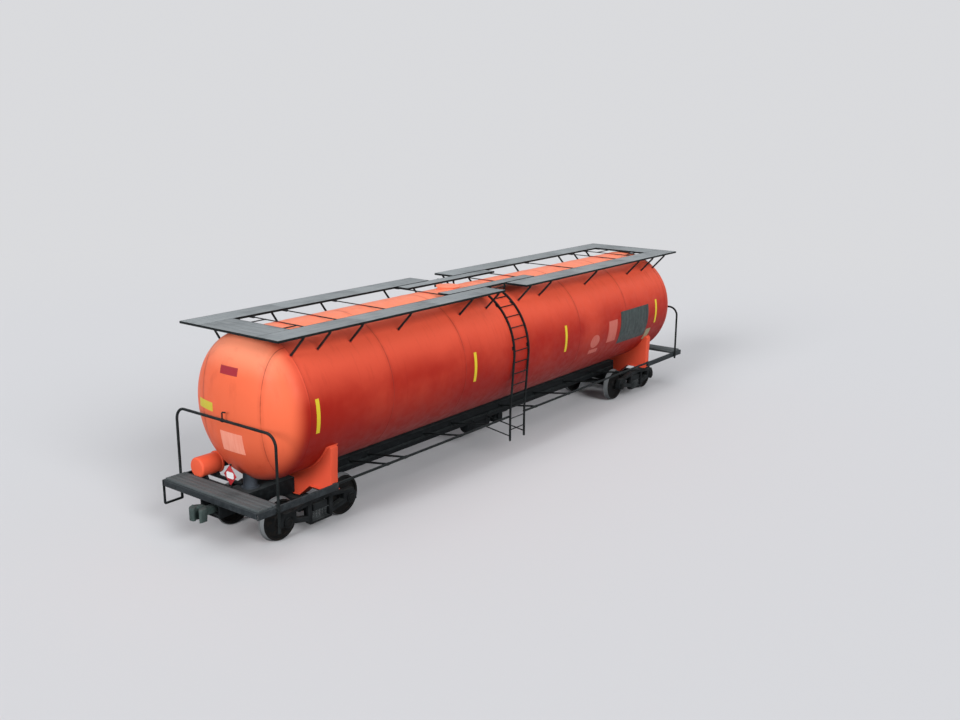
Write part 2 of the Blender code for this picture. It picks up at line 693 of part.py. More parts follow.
def walkway_bracket(x, across):
    """Make one side's arm, brace and foot under the walkway."""
    half = ARM_WIDTH / 2
    low = WALK_UNDER - SEAT - ARM_DEPTH
    arm = block((x - half, across * ARM_INNER_Y, low), (x + half, across * ARM_OUTER_Y, WALK_UNDER - SEAT))
    y, z = tank_point(FOOT_STEPS, TANK_RADIUS + SEAT + FOOT_THICKNESS / 2)
    brace = tube(((x, across * (ARM_OUTER_Y - ARM_WIDTH / 2), low),
                  (x, across * y, z)), BRACE_RADIUS)
    reach = FOOT_SIZE / 2
    foot = block((x - reach, -reach, TANK_RADIUS + SEAT),
                 (x + reach, reach, TANK_RADIUS + SEAT + FOOT_THICKNESS))
    foot.data.transform(Matrix.Rotation(-across * FOOT_STEPS * STEP_ANGLE, 4, "X"))
    foot.data.transform(Matrix.Translation((0, 0, TANK_AXIS_Z)))
    return [arm, brace, foot]


def cross_rod(x):
    """Make the rod that ties the two sides' arms over the tank."""
    reach = (ARM_INNER_Y + WALK_INNER_Y) / 2
    return tube(((x, -reach, ROD_Z), (x, reach, ROD_Z)), ROD_RADIUS)


def build_walkway():
    """Make the planks on top and the frames that carry them."""
    def plank(name, low, high, start, stop, boards=WALK_BOARDS):
        outline = planked(low, high, WALK_TOP, WALK_UNDER, boards)
        finish(prism(outline, "X", start, stop), name, "walkway_grey")

    for side, across in SIDES:
        edges = sorted((across * WALK_INNER_Y, across * WALK_HALF_WIDTH))
        gap = WALK_GAP_NEAR_X if side == "near" else WALK_GAP_FAR_X
        plank(f"walkway_{side}_a", *edges, -WALK_HALF_LENGTH, gap)
        plank(f"walkway_{side}_b", *edges, WALK_GAP_END_X, WALK_HALF_LENGTH)
        middle = sorted((across * MIDDLE_INNER_Y, across * MIDDLE_OUTER_Y))
        plank(f"walkway_middle_{side}", *middle, MIDDLE_START_X, MIDDLE_END_X, WALK_BOARDS // 2)
        bracket = fuse(*walkway_bracket(LONE_BRACKET_X, across))
        finish(bracket, f"walkway_bracket_{side}", "frame_black")
    half = WALK_INNER_Y - SEAT
    for end, sign in ENDS:
        outline = planked(WALK_HALF_LENGTH - WALK_END_WIDTH, WALK_HALF_LENGTH, WALK_TOP, WALK_UNDER, WALK_BOARDS)
        finish(prism([(sign * u, v) for u, v in outline], "Y", -half, half), f"walkway_end_{end}", "walkway_grey")

        bodies = []
        inner_x = HALF_STRAIGHT - END_FRAME_BEFORE
        for x in (inner_x, HALF_STRAIGHT + END_FRAME_PAST):
            bodies.append(cross_rod(sign * x))
            for _, across in SIDES:
                bodies += walkway_bracket(sign * x, across)
        for _, across in SIDES:
            bodies.append(tube(((sign * inner_x, across * END_BEAM_Y, ROD_Z),
                                (sign * (WALK_HALF_LENGTH - END_BEAM_INSET), across * END_BEAM_Y, ROD_Z)), ROD_RADIUS))
        finish(fuse(*bodies), f"walkway_frame_end_{end}", "frame_black")
    for i, share in enumerate(WALK_FRAME_SHARES, start=1):
        x = HALF_STRAIGHT * share
        bodies = [cross_rod(x)]
        for _, across in SIDES:
            bodies += walkway_bracket(x, across)
        finish(fuse(*bodies), f"walkway_frame_{i}", "frame_black")


def build_handrail(end, sign):
    """Make the bent rail across an end, which at end a has longer legs, a step and a lamp hook."""
    x = sign * HANDRAIL_X
    bend_y = HANDRAIL_Y - HANDRAIL_BEND
    bend_z = HANDRAIL_TOP - HANDRAIL_BEND
    has_step = end == "a"
    foot = STEP_Z if has_step else HANDRAIL_FOOT_Z
    half = [(x, HANDRAIL_Y, foot)]
    for i in range(HANDRAIL_BEND_STEPS + 1):
        turn = math.pi / 2 * i / HANDRAIL_BEND_STEPS
        half.append((x, bend_y + HANDRAIL_BEND * math.cos(turn), bend_z + HANDRAIL_BEND * math.sin(turn)))
    path = half + [(px, -py, pz) for px, py, pz in reversed(half)]
    if has_step:
        outer = sign * (HANDRAIL_X + STEP_REACH)
        path = [(outer, HANDRAIL_Y, STEP_TOP_Z), (outer, HANDRAIL_Y, STEP_Z)] + path
    rail = tube(path, HANDRAIL_RADIUS)
    if has_step:
        hook_top = HANDRAIL_TOP + LAMP_HOOK_HEIGHT
        hook = tube(((x, LAMP_HOOK_Y, HANDRAIL_TOP), (x, LAMP_HOOK_Y, hook_top),
                     (x, LAMP_HOOK_Y - LAMP_HOOK_REACH, hook_top)), LAMP_HOOK_RADIUS)
        rail = fuse(rail, hook)
    finish(rail, f"handrail_{end}", "frame_black", smooth=True)


def build_end_gear():
    """Make the brake cylinder on its bearers and the placard on its post, both at end a."""
    start = BRAKE_BEHIND - PLATFORM_BACK
    stop = start + BRAKE_LENGTH
    brake_y = BODY_HALF_WIDTH - BRAKE_INSET
    rim = BRAKE_RADIUS + BRAKE_RIM
    profile = (
        (start, 0), (start, BRAKE_RADIUS), (stop - BRAKE_RIM_WIDTH, BRAKE_RADIUS),
        (stop - BRAKE_RIM_WIDTH, rim), (stop, rim), (stop, 0),
    )
    bodies = [turned(profile, "X", (0, brake_y, BRAKE_Z), FINE)]
    half = BRAKE_FOOT_WIDTH / 2
    bearer_top = BRAKE_Z - rim - SEAT
    for x in (start + BRAKE_FOOT_INSET, stop - BRAKE_FOOT_INSET):
        shoulder = BRAKE_Z - BRAKE_RADIUS / 2
        foot = ((brake_y - BRAKE_RADIUS / 2, shoulder), (brake_y + BRAKE_RADIUS / 2, shoulder),
                (brake_y + BRAKE_RADIUS, bearer_top - half), (brake_y - BRAKE_RADIUS, bearer_top - half))
        bodies.append(prism(foot, "X", x - half, x + half))
        bodies.append(block((x - half, SILL_HALF_WIDTH / 2, SILL_TOP + SEAT),
                            (x + half, BODY_HALF_WIDTH - SIDE_BOARD_WALL - SEAT, bearer_top)))
    finish(fuse(*bodies), "brake_cylinder", "tank_orange", smooth=True)

    post_x = PLACARD_BEHIND - PLATFORM_BACK
    post = turned(((SILL_TOP + SEAT, POST_RADIUS), (POST_TOP, POST_RADIUS)), "Z", (post_x, 0, 0), THIN)
    diamond = ((PLACARD_HALF_WIDTH, PLACARD_Z), (0, PLACARD_Z + PLACARD_HALF_HEIGHT),
               (-PLACARD_HALF_WIDTH, PLACARD_Z), (0, PLACARD_Z - PLACARD_HALF_HEIGHT))
    face = post_x - POST_RADIUS
    plate = prism(diamond, "X", face - PLACARD_THICKNESS / 2, face + PLACARD_THICKNESS / 2)
    finish(fuse(post, plate), "placard_stand", "placard_red")


def build_under_gear():
    """Make the air reservoir, the control valve and the train pipe on the centre sill."""
    start, stop = RESERVOIR_START_X, RESERVOIR_END_X
    dome = RESERVOIR_DOME
    shoulder_share, nose_share = 0.75, 0.25
    shoulder = RESERVOIR_RADIUS * shoulder_share
    profile = (
        (start, 0), (start + dome * nose_share, shoulder), (start + dome, RESERVOIR_RADIUS),
        (stop - dome, RESERVOIR_RADIUS), (stop - dome * nose_share, shoulder), (stop, 0),
    )
    bodies = [turned(profile, "X", (0, 0, RESERVOIR_Z), MEDIUM)]
    for x in (start + HANGER_INSET, stop - HANGER_INSET):
        bodies.append(block((x - HANGER_WIDTH / 2, -RESERVOIR_RADIUS, RESERVOIR_Z),
                            (x + HANGER_WIDTH / 2, RESERVOIR_RADIUS, SILL_BOTTOM - SEAT)))
        bodies.append(block((x - HANGER_WIDTH / 2, -SILL_HALF_WIDTH, SILL_BOTTOM - SEAT - SILL_WALL),
                            (x + HANGER_WIDTH / 2, SILL_HALF_WIDTH, SILL_BOTTOM - SEAT)))
    finish(fuse(*bodies), "air_reservoir", "frame_black", smooth=True)

    start, stop = VALVE_START_X, VALVE_END_X
    low = VALVE_BOTTOM
    wide, narrow = VALVE_HALF_WIDTH, VALVE_HALF_WIDTH - VALVE_LIP
    top = SILL_BOTTOM - SEAT
    section = ((wide, top), (wide, low + VALVE_LIP), (narrow, low),
               (-narrow, low), (-wide, low + VALVE_LIP), (-wide, top))
    body = prism(section, "X", start + VALVE_LIP, stop - VALVE_LIP)
    plate = block((start, -SILL_HALF_WIDTH, top - VALVE_FLANGE), (stop, SILL_HALF_WIDTH, top))
    pipe = turned(((RESERVOIR_END_X + SEAT, PIPE_RADIUS), (stop, PIPE_RADIUS)), "X", (0, 0, RESERVOIR_Z), THIN)
    finish(fuse(body, plate, pipe), "control_valve", "frame_black")

    y = -SILL_HALF_WIDTH - SEAT - PIPE_RADIUS
    reach = TRUCK_X - PIPE_INSET
    pipe = turned(((-reach, PIPE_RADIUS), (reach, PIPE_RADIUS)), "X", (0, y, PIPE_Z), COARSE)
    finish(pipe, "train_pipe", "frame_black", smooth=True)


def build_manway():
    """Make the low manway neck on the tank's top and its lid, hinged on the far side."""
    axis = (MANWAY_X, MANWAY_RADIUS + MANWAY_LIP + LID_HINGE_RADIUS, MANWAY_TOP)
    pin_radius = LID_HINGE_RADIUS / 2
    root = TANK_TOP - MANWAY_RADIUS / 2
    neck = turned(((root, MANWAY_RADIUS), (MANWAY_TOP, MANWAY_RADIUS), (MANWAY_TOP, MANWAY_BORE), (root, MANWAY_BORE)),
                  "Z", (MANWAY_X, 0, 0), FINE, closed=True)
    bodies = []
    near, far = axis[1] - LID_HINGE_RADIUS, axis[1] + LID_HINGE_RADIUS
    low, high = MANWAY_TOP - LID_EAR, MANWAY_TOP + LID_HINGE_RADIUS
    ear = ((MANWAY_BORE, low), (far, low), (far, high), (near, high), (near, MANWAY_TOP),
           (MANWAY_BORE, MANWAY_TOP))
    inside = LID_HINGE_HALF + PIN_GAP
    for sign in (-1, 1):
        bodies.append(prism(ear, "X", MANWAY_X + sign * inside, MANWAY_X + sign * (inside + LID_EAR)))
    reach = inside + LID_EAR / 2
    bodies.append(turned(((-reach, pin_radius), (reach, pin_radius)), "X", axis, THIN))
    shell = turned(((-HALF_STRAIGHT, TANK_RADIUS + SEAT), (HALF_STRAIGHT, TANK_RADIUS + SEAT)),
                   "X", (0, 0, TANK_AXIS_Z), TANK_SEGMENTS)
    finish(cut(fuse(neck, *bodies), shell), "manway", "tank_orange", smooth=True)

    under = MANWAY_TOP + SEAT
    lid = turned(((under, MANWAY_RADIUS + MANWAY_LIP), (under + LID_THICKNESS, MANWAY_RADIUS)),
                 "Z", (MANWAY_X, 0, 0), FINE)
    barrel = turned(((-LID_HINGE_HALF, LID_HINGE_RADIUS), (LID_HINGE_HALF, LID_HINGE_RADIUS)), "X", axis, COARSE)
    tab = block((MANWAY_X - LID_HINGE_HALF, MANWAY_RADIUS / 2, under),
                (MANWAY_X + LID_HINGE_HALF, axis[1], MANWAY_TOP + LID_HINGE_RADIUS))
    bore = bored(pin_radius, COARSE)
    hole = turned(((-LID_HINGE_HALF - OVERRUN, bore), (LID_HINGE_HALF + OVERRUN, bore)), "X", axis, COARSE)
    finish(cut(fuse(lid, barrel, tab), hole), "manway_lid", "tank_orange", smooth=True, origin=axis)


def bored(shaft, segments):
    """Radius of a faceted bore whose flats clear a shaft."""
    return (shaft + PIN_GAP) / math.cos(math.pi / segments)


def build_coupler(end, sign):
    """Make a coupler: a shank on its vertical pin, and a head with its jaw, guard arm and knuckle."""
    pivot = (sign * COUPLER_PIVOT_X, 0, COUPLER_Z)
    tail_share = 1.2
    tail = SHANK_HALF_WIDTH * tail_share
    plan = []
    for k in range(THIN + 1):
        turn = math.pi / 2 + math.pi * k / THIN
        plan.append((COUPLER_PIVOT_X + tail * math.cos(turn), tail * math.sin(turn)))
    plan += [(SHANK_END, -SHANK_HALF_WIDTH), (SHANK_END, SHANK_HALF_WIDTH)]
    shank = prism([(sign * u, v) for u, v in plan], "Z", COUPLER_Z - SHANK_HALF_HEIGHT, COUPLER_Z + SHANK_HALF_HEIGHT)
    plan = [(SHANK_END + COUPLER_HEAD_LENGTH * u, HEAD_HALF_WIDTH * v) for u, v in COUPLER_HEAD_SHARES]
    head = prism([(sign * u, sign * v) for u, v in plan], "Z", COUPLER_Z - HEAD_HALF_HEIGHT, COUPLER_Z + HEAD_HALF_HEIGHT)
    bore = bored(COUPLER_PIN_RADIUS, FINE)
    reach = SHANK_HALF_HEIGHT + OVERRUN
    hole = turned(((-reach, bore), (reach, bore)), "Z", pivot, FINE)
    finish(cut(fuse(shank, head), hole), f"coupler_{end}", "cast_iron", origin=pivot)


def build_wheelset(name, x):
    """Make an axle with its two wheels, turned about the axle's line."""
    back = WHEEL_BACKS / 2
    face = back + RIM_WIDTH
    rim = TREAD_RADIUS - RIM_DEPTH
    flange = TREAD_RADIUS + FLANGE_HEIGHT
    web = (RIM_WIDTH - WEB_THICKNESS) / 2
    hub_end = face + HUB_PROUD
    centre = (x, 0, AXLE_Z)
    cap = FRAME_Y + BEARING_LENGTH / 2 + SEAT
    half = [
        (back - HUB_PROUD, AXLE_RADIUS), (back - HUB_PROUD, WHEEL_SEAT_RADIUS), (JOURNAL_START, WHEEL_SEAT_RADIUS),
        (JOURNAL_START, JOURNAL_RADIUS), (cap, JOURNAL_RADIUS), (cap, CAP_RADIUS),
        (cap + CAP_LENGTH, CAP_RADIUS / 2), (cap + CAP_LENGTH, 0),
    ]
    bodies = [turned([(-u, r) for u, r in reversed(half)] + half, "Y", centre, COARSE)]
    for sign in (-1, 1):
        profile = (
            (back, HUB_RADIUS), (back + web + WEB_LEAN, HUB_RADIUS), (back + web, rim), (back, rim),
            (back, flange - FLANGE_TIP), (back + FLANGE_TIP, flange), (back + FLANGE_WIDTH, TREAD_RADIUS),
            (face, TREAD_RADIUS - TREAD_FALL), (face, rim), (back + web + WEB_THICKNESS, rim),
            (back + web + WEB_THICKNESS + WEB_LEAN, HUB_RADIUS), (hub_end, HUB_RADIUS),
            (hub_end, AXLE_RADIUS), (back, AXLE_RADIUS),
        )
        bodies.append(turned([(sign * u, r) for u, r in profile], "Y", centre, FINE, closed=True))
    finish(fuse(*bodies), name, "wheel_steel", smooth=True, origin=centre)


def side_frame_outline():
    """Outline (x, z) of a cast side frame, round the pedestals and the bottom chord."""
    axle = HALF_AXLE_SPACING
    jaw = BEARING_RADIUS + SWING_GAP
    leg = jaw + FRAME_LEG
    shoulder_share, chord_rise_share = 0.45, 0.55
    column = WINDOW_HALF + COLUMN_WIDTH
    rise = FRAME_LEG_BOTTOM - FRAME_BOTTOM
    half = [
        (column, FRAME_TOP),
        (axle - leg, FRAME_END_TOP),
        (axle + leg * shoulder_share, FRAME_END_TOP),
        (axle + leg, AXLE_Z + jaw * shoulder_share),
        (axle + leg, FRAME_LEG_BOTTOM), (axle + jaw, FRAME_LEG_BOTTOM),
        (axle + jaw, AXLE_Z + jaw * shoulder_share), (axle + jaw * shoulder_share, AXLE_Z + jaw),
        (axle - jaw * shoulder_share, AXLE_Z + jaw), (axle - jaw, AXLE_Z + jaw * shoulder_share),
        (axle - jaw, FRAME_LEG_BOTTOM), (axle - leg, FRAME_LEG_BOTTOM),
        (column, FRAME_BOTTOM + rise * chord_rise_share), (BOTTOM_HALF, FRAME_BOTTOM),
    ]
    return half + [(-u, v) for u, v in reversed(half)]


def build_side_frame(name, x, across):
    """Make a cast side frame with its windows, bearing housings and spring nest."""
    def place(points, shift=0):
        return [(x + u + shift, v) for u, v in points]

    low_y, high_y = across * FRAME_INNER_Y, across * FRAME_OUTER_Y
    casting = prism(place(side_frame_outline()), "Y", low_y, high_y)
    seat = FRAME_BOTTOM + BOTTOM_CHORD
    sill = FRAME_TOP - TOP_CHORD
    inside = across * (FRAME_INNER_Y - OVERRUN)
    outside = across * (FRAME_OUTER_Y + OVERRUN)
    cutters = [block((x - WINDOW_HALF, inside, seat), (x + WINDOW_HALF, outside, sill))]
    column = WINDOW_HALF + COLUMN_WIDTH
    pedestal = HALF_AXLE_SPACING - BEARING_RADIUS - SWING_GAP - FRAME_LEG
    wall = BOTTOM_CHORD
    window = ((column, sill - wall / 2), (pedestal - wall, FRAME_END_TOP - wall),
              (pedestal - wall, AXLE_Z + wall / 2), (column, AXLE_Z - wall))
    for sign in (-1, 1):
        cutters.append(prism(place([(sign * u, v) for u, v in window]), "Y", inside, outside))
    casting = cut(casting, *cutters)
    bodies = []
    half = BEARING_LENGTH / 2
    crown_share = 0.6
    for sign in (-1, 1):
        centre = (x + sign * HALF_AXLE_SPACING, across * FRAME_Y, AXLE_Z)
        bodies.append(turned(((-half, BEARING_RADIUS), (half, BEARING_RADIUS)), "Y", centre, MEDIUM))
        crown = BEARING_RADIUS * crown_share
        bodies.append(block((centre[0] - crown, low_y, AXLE_Z + crown),
                            (centre[0] + crown, high_y, AXLE_Z + BEARING_RADIUS + SWING_GAP + FRAME_LAP)))
    pitch = 2 * (WINDOW_HALF - SPRING_RADIUS) / SPRING_COUNT
    coil = (SPRING_TOP - seat) / SPRING_TURNS
    for i in range(SPRING_COUNT):
        profile = [(seat - FRAME_LAP, SPRING_RADIUS - SPRING_WIRE)]
        for turn in range(SPRING_TURNS):
            base = seat + coil * turn
            profile += [(base, SPRING_RADIUS - SPRING_WIRE / 2), (base + coil / 2, SPRING_RADIUS)]
        profile.append((SPRING_TOP, SPRING_RADIUS - SPRING_WIRE / 2))
        bodies.append(turned(profile, "Z", (x + pitch * (i - (SPRING_COUNT - 1) / 2), across * FRAME_Y, 0), THIN))
    casting = fuse(casting, *bodies)
    bore = bored(JOURNAL_RADIUS, COARSE)
    holes = []
    for sign in (-1, 1):
        centre = (x + sign * HALF_AXLE_SPACING, across * FRAME_Y, AXLE_Z)
        reach = half + OVERRUN
        holes.append(turned(((-reach, bore), (reach, bore)), "Y", centre, COARSE))
    finish(cut(casting, *holes), name, "cast_iron", smooth=True)


def build_bolster(name, x):
    """Make the truck's bolster with its bowl and side bearings."""
    low = SPRING_TOP + SEAT
    tip = FRAME_Y + BOLSTER_LIP
    half = [(tip, BOLSTER_TOP), (tip, low), (FRAME_Y - BOLSTER_INSET, low), (BOLSTER_BELLY_HALF, BOLSTER_BELLY)]
    body = prism(half + [(-u, v) for u, v in reversed(half)], "X", x - BOLSTER_HALF_WIDTH, x + BOLSTER_HALF_WIDTH)
    rim = CENTRE_PLATE_RADIUS + SWING_GAP
    floor = CENTRE_PLATE_Z - SEAT
    bowl = turned((
        (BOLSTER_BELLY + BOWL_WALL, rim + BOWL_WALL), (floor + BOWL_WALL / 2, rim + BOWL_WALL),
        (floor + BOWL_WALL / 2, rim), (floor, rim), (floor, 0),
    ), "Z", (x, 0, 0), FINE)
    reach = SIDE_BEARING_SIZE / 2
    pads = [block((x - reach, sign * SIDE_BEARING_Y - reach, BOLSTER_TOP - reach),
                  (x + reach, sign * SIDE_BEARING_Y + reach, SIDE_BEARING_TOP)) for sign in (-1, 1)]
    pin = KINGPIN_RADIUS + SWING_GAP
    hole = turned(((CENTRE_PLATE_Z - KINGPIN_DEPTH - SWING_GAP, pin), (CENTRE_PLATE_Z + OVERRUN, pin)),
                  "Z", (x, 0, 0), COARSE)
    finish(cut(fuse(body, bowl, *pads), hole), name, "cast_iron", origin=(x, 0, CENTRE_PLATE_Z))


def build_truck(end, sign):
    """Make a three-piece truck: two side frames, a bolster and two wheelsets."""
    x = sign * TRUCK_X
    for side, across in SIDES:
        build_side_frame(f"side_frame_{side}_{end}", x, across)
    build_bolster(f"bolster_{end}", x)
    build_wheelset(f"wheelset_{end}_outer", x + sign * HALF_AXLE_SPACING)
    build_wheelset(f"wheelset_{end}_inner", x - sign * HALF_AXLE_SPACING)


def main():
    """Clear the scene and build every sub-part."""
    for old in list(bpy.data.objects):
        bpy.data.objects.remove(old)
    build_tank()
    build_center_sill()
    for end, sign in ENDS:
        build_saddle(end, sign)
        build_platform(end, sign)
        build_handrail(end, sign)
        build_coupler(end, sign)
        build_truck(end, sign)
    for side, across in SIDES:
        build_side_rail(side, across)
        build_ladder(side, across)
    build_walkway()
    build_end_gear()
    build_under_gear()
    build_manway()


main()
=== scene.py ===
"""Dresses the railway tank car: fine meshes, worn finishes, the floor, the light and the camera."""

import logging
import math
from collections.abc import Callable
from dataclasses import dataclass
from enum import Enum

import bmesh
import bpy
from mathutils import Matrix, Vector


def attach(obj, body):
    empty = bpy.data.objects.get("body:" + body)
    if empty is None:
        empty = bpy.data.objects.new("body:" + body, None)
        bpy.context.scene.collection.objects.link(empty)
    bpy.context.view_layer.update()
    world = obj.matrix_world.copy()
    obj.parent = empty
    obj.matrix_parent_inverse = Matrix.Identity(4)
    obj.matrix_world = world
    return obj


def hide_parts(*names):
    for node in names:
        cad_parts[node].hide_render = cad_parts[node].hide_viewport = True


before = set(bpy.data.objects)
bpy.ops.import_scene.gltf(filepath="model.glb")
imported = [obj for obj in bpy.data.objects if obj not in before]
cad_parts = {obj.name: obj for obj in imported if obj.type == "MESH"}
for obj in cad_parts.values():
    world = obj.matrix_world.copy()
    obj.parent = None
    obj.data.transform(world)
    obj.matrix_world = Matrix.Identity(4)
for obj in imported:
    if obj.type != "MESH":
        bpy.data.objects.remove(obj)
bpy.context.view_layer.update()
LOG = logging.getLogger("tank_car")

Point = tuple[float, float, float]
Flat = tuple[float, float]
Box = tuple[float, float, float, float]
Socket = bpy.types.NodeSocket

# The sizes that several sub-assemblies share, in metres.
HAIR = 0.0003
TANK_RADIUS = 1.620
TANK_AXIS_Z = 2.800
HALF_STRAIGHT = 7.550
SEAM_PITCH = 2.550
SILL_HALF = 0.300
SILL_TOP = 1.055
WALK_TOP = 4.495
WALK_UNDER = 4.450
TRUCK_X = 6.870
HALF_SPACING = 0.915
AXLE_Z = 0.4826
TREAD_RADIUS = 0.4572


class Axis(Enum):
    """A direction of the car: along it, across it or up."""

    ALONG = (1.0, 0.0, 0.0)
    ACROSS = (0.0, 1.0, 0.0)
    UP = (0.0, 0.0, 1.0)

    def point(self, along: float, u: float, v: float) -> Point:
        """The point at a place along the axis and at (u, v) across it."""
        return {Axis.ALONG: (along, u, v), Axis.ACROSS: (u, along, v), Axis.UP: (u, v, along)}[self]


class End(Enum):
    """An end of the car and the side of the origin it lies on."""

    A = -1
    B = 1

    @property
    def letter(self) -> str:
        """The end's letter in the nodes' names."""
        return self.name.lower()


class Side(Enum):
    """A long side of the car."""

    NEAR = -1
    FAR = 1

    @property
    def word(self) -> str:
        """The side's word in the nodes' names."""
        return self.name.lower()


class Graph:
    """Builds the nodes of one material or of the world."""

    def __init__(self, owner: bpy.types.ID, output: str = "ShaderNodeOutputMaterial") -> None:
        """Start with an output and nothing else.

        Args:
            owner: The material or the world.
            output: The output node's type.
        """
        self.owner = owner
        owner.use_nodes = True
        self.tree = owner.node_tree
        self.tree.nodes.clear()
        self.output = self.node(output)

    def node(self, kind: str, **settings: object) -> bpy.types.Node:
        """Add a node and set its properties.

        Args:
            kind: The node's type.
            **settings: The properties and their values.

        Returns:
            The node.
        """
        made = self.tree.nodes.new(kind)
        for key, value in settings.items():
            setattr(made, key, value)
        return made

    def feed(self, socket: Socket, value: object) -> None:
        """Link a socket or set a plain value on it.

        Args:
            socket: The input to feed.
            value: Another node's output, a number, a colour or a vector.
        """
        if isinstance(value, Socket):
            self.tree.links.new(value, socket)
        elif isinstance(value, tuple) and len(value) == 3 and socket.type == "RGBA":
            socket.default_value = (*value, 1.0)
        else:
            socket.default_value = value

    def place(self, centre: Point = (0, 0, 0), stretch: Point = (1, 1, 1)) -> Socket:
        """Object coordinates, moved to a centre and stretched.

        Args:
            centre: The point that becomes the pattern's origin.
            stretch: How much finer the pattern is along each axis.

        Returns:
            The vector socket.
        """
        coords = self.node("ShaderNodeTexCoord")
        mapping = self.node("ShaderNodeMapping")
        self.feed(mapping.inputs["Vector"], coords.outputs["Object"])
        self.feed(mapping.inputs["Scale"], stretch)
        self.feed(mapping.inputs["Location"], tuple(-c * s for c, s in zip(centre, stretch)))
        return mapping.outputs["Vector"]

    def noise(self, vector: Socket, scale: float, detail: float = 3.0, rough: float = 0.55) -> Socket:
        """Noise between 0 and 1.

        Args:
            vector: Where it is read.
            scale: How fine it is.
            detail: Its octaves.
            rough: How strong the finer octaves are.

        Returns:
            The noise's socket.
        """
        made = self.node("ShaderNodeTexNoise")
        self.feed(made.inputs["Vector"], vector)
        made.inputs["Scale"].default_value = scale
        made.inputs["Detail"].default_value = detail
        made.inputs["Roughness"].default_value = rough
        return made.outputs["Fac"]

    def cells(self, vector: Socket, scale: float) -> Socket:
        """Distance to the nearest cell's middle.

        Args:
            vector: Where it is read.
            scale: How fine the cells are.

        Returns:
            The distance's socket.
        """
        made = self.node("ShaderNodeTexVoronoi")
        self.feed(made.inputs["Vector"], vector)
        made.inputs["Scale"].default_value = scale
        return made.outputs["Distance"]

    def sum(self, kind: str, *values: object) -> Socket:
        """Work one sum on a few values.

        Args:
            kind: The Math node's operation.
            *values: Numbers or sockets.

        Returns:
            The result's socket.
        """
        made = self.node("ShaderNodeMath", operation=kind)
        for socket, value in zip(made.inputs, values):
            self.feed(socket, value)
        return made.outputs["Value"]

    def fade(self, value: object, low: float, high: float, start: float = 0.0, stop: float = 1.0) -> Socket:
        """Smoothly map a value from one range to another.

        Args:
            value: The number or its socket.
            low: Where the change begins.
            high: Where it is complete.
            start: The result below low.
            stop: The result above high.

        Returns:
            The result's socket.
        """
        made = self.node("ShaderNodeMapRange", interpolation_type="SMOOTHSTEP")
        self.feed(made.inputs["Value"], value)
        for key, number in (("From Min", low), ("From Max", high), ("To Min", start), ("To Max", stop)):
            made.inputs[key].default_value = number
        return made.outputs["Result"]

    def blend(self, share: object, first: object, second: object) -> Socket:
        """Mix two colours.

        Args:
            share: The second colour's share.
            first: The first colour or its socket.
            second: The second colour or its socket.

        Returns:
            The mixed colour's socket.
        """
        made = self.node("ShaderNodeMix", data_type="RGBA")
        self.feed(made.inputs[0], share)
        self.feed(made.inputs[6], first)
        self.feed(made.inputs[7], second)
        return made.outputs[2]

    def parts(self, vector: Socket) -> tuple[Socket, ...]:
        """Split a vector.

        Args:
            vector: The vector's socket.

        Returns:
            The sockets of its x, y and z.
        """
        made = self.node("ShaderNodeSeparateXYZ")
        self.feed(made.inputs["Vector"], vector)
        return made.outputs["X"], made.outputs["Y"], made.outputs["Z"]

    def facing_up(self) -> Socket:
        """The upward part of the surface's normal."""
        return self.parts(self.node("ShaderNodeNewGeometry").outputs["Normal"])[2]

    def relief(self, height: Socket, depth: float, strength: float = 1.0) -> Socket:
        """Bend the surface's normal by a height.

        Args:
            height: The height's socket.
            depth: The depth in metres of the height's full range.
            strength: How much of the bend is kept.

        Returns:
            The bent normal's socket.
        """
        made = self.node("ShaderNodeBump")
        made.inputs["Strength"].default_value = strength
        made.inputs["Distance"].default_value = depth
        self.feed(made.inputs["Height"], height)
        return made.outputs["Normal"]

    def close(self, colour: object, roughness: object, normal: object = None, metallic: float = 0.0,
              specular: float = 0.5) -> bpy.types.Material:
        """Finish the material with a Principled shader.

        Args:
            colour: The base colour or its socket.
            roughness: The roughness or its socket.
            normal: The bumped normal, if any.
            metallic: How metallic the surface is.
            specular: The strength of its plain reflection.

        Returns:
            The material.
        """
        shader = self.node("ShaderNodeBsdfPrincipled")
        self.feed(shader.inputs["Base Color"], colour)
        self.feed(shader.inputs["Roughness"], roughness)
        shader.inputs["Metallic"].default_value = metallic
        shader.inputs["Specular IOR Level"].default_value = specular
        if normal is not None:
            self.feed(shader.inputs["Normal"], normal)
        self.feed(self.output.inputs["Surface"], shader.outputs["BSDF"])
        return self.owner


@dataclass(frozen=True)
class Finish:
    """A surface finish: its name and the car's material slot it belongs to."""

    name: str
    slot_name: str = "frame_black"

    def material(self) -> bpy.types.Material:
        """The finish's material, made on first use."""
        known = bpy.data.materials.get(self.name)
        return known or self.build(Graph(bpy.data.materials.new(self.name)))

    def build(self, g: Graph) -> bpy.types.Material:
        """Build the nodes."""
        raise NotImplementedError


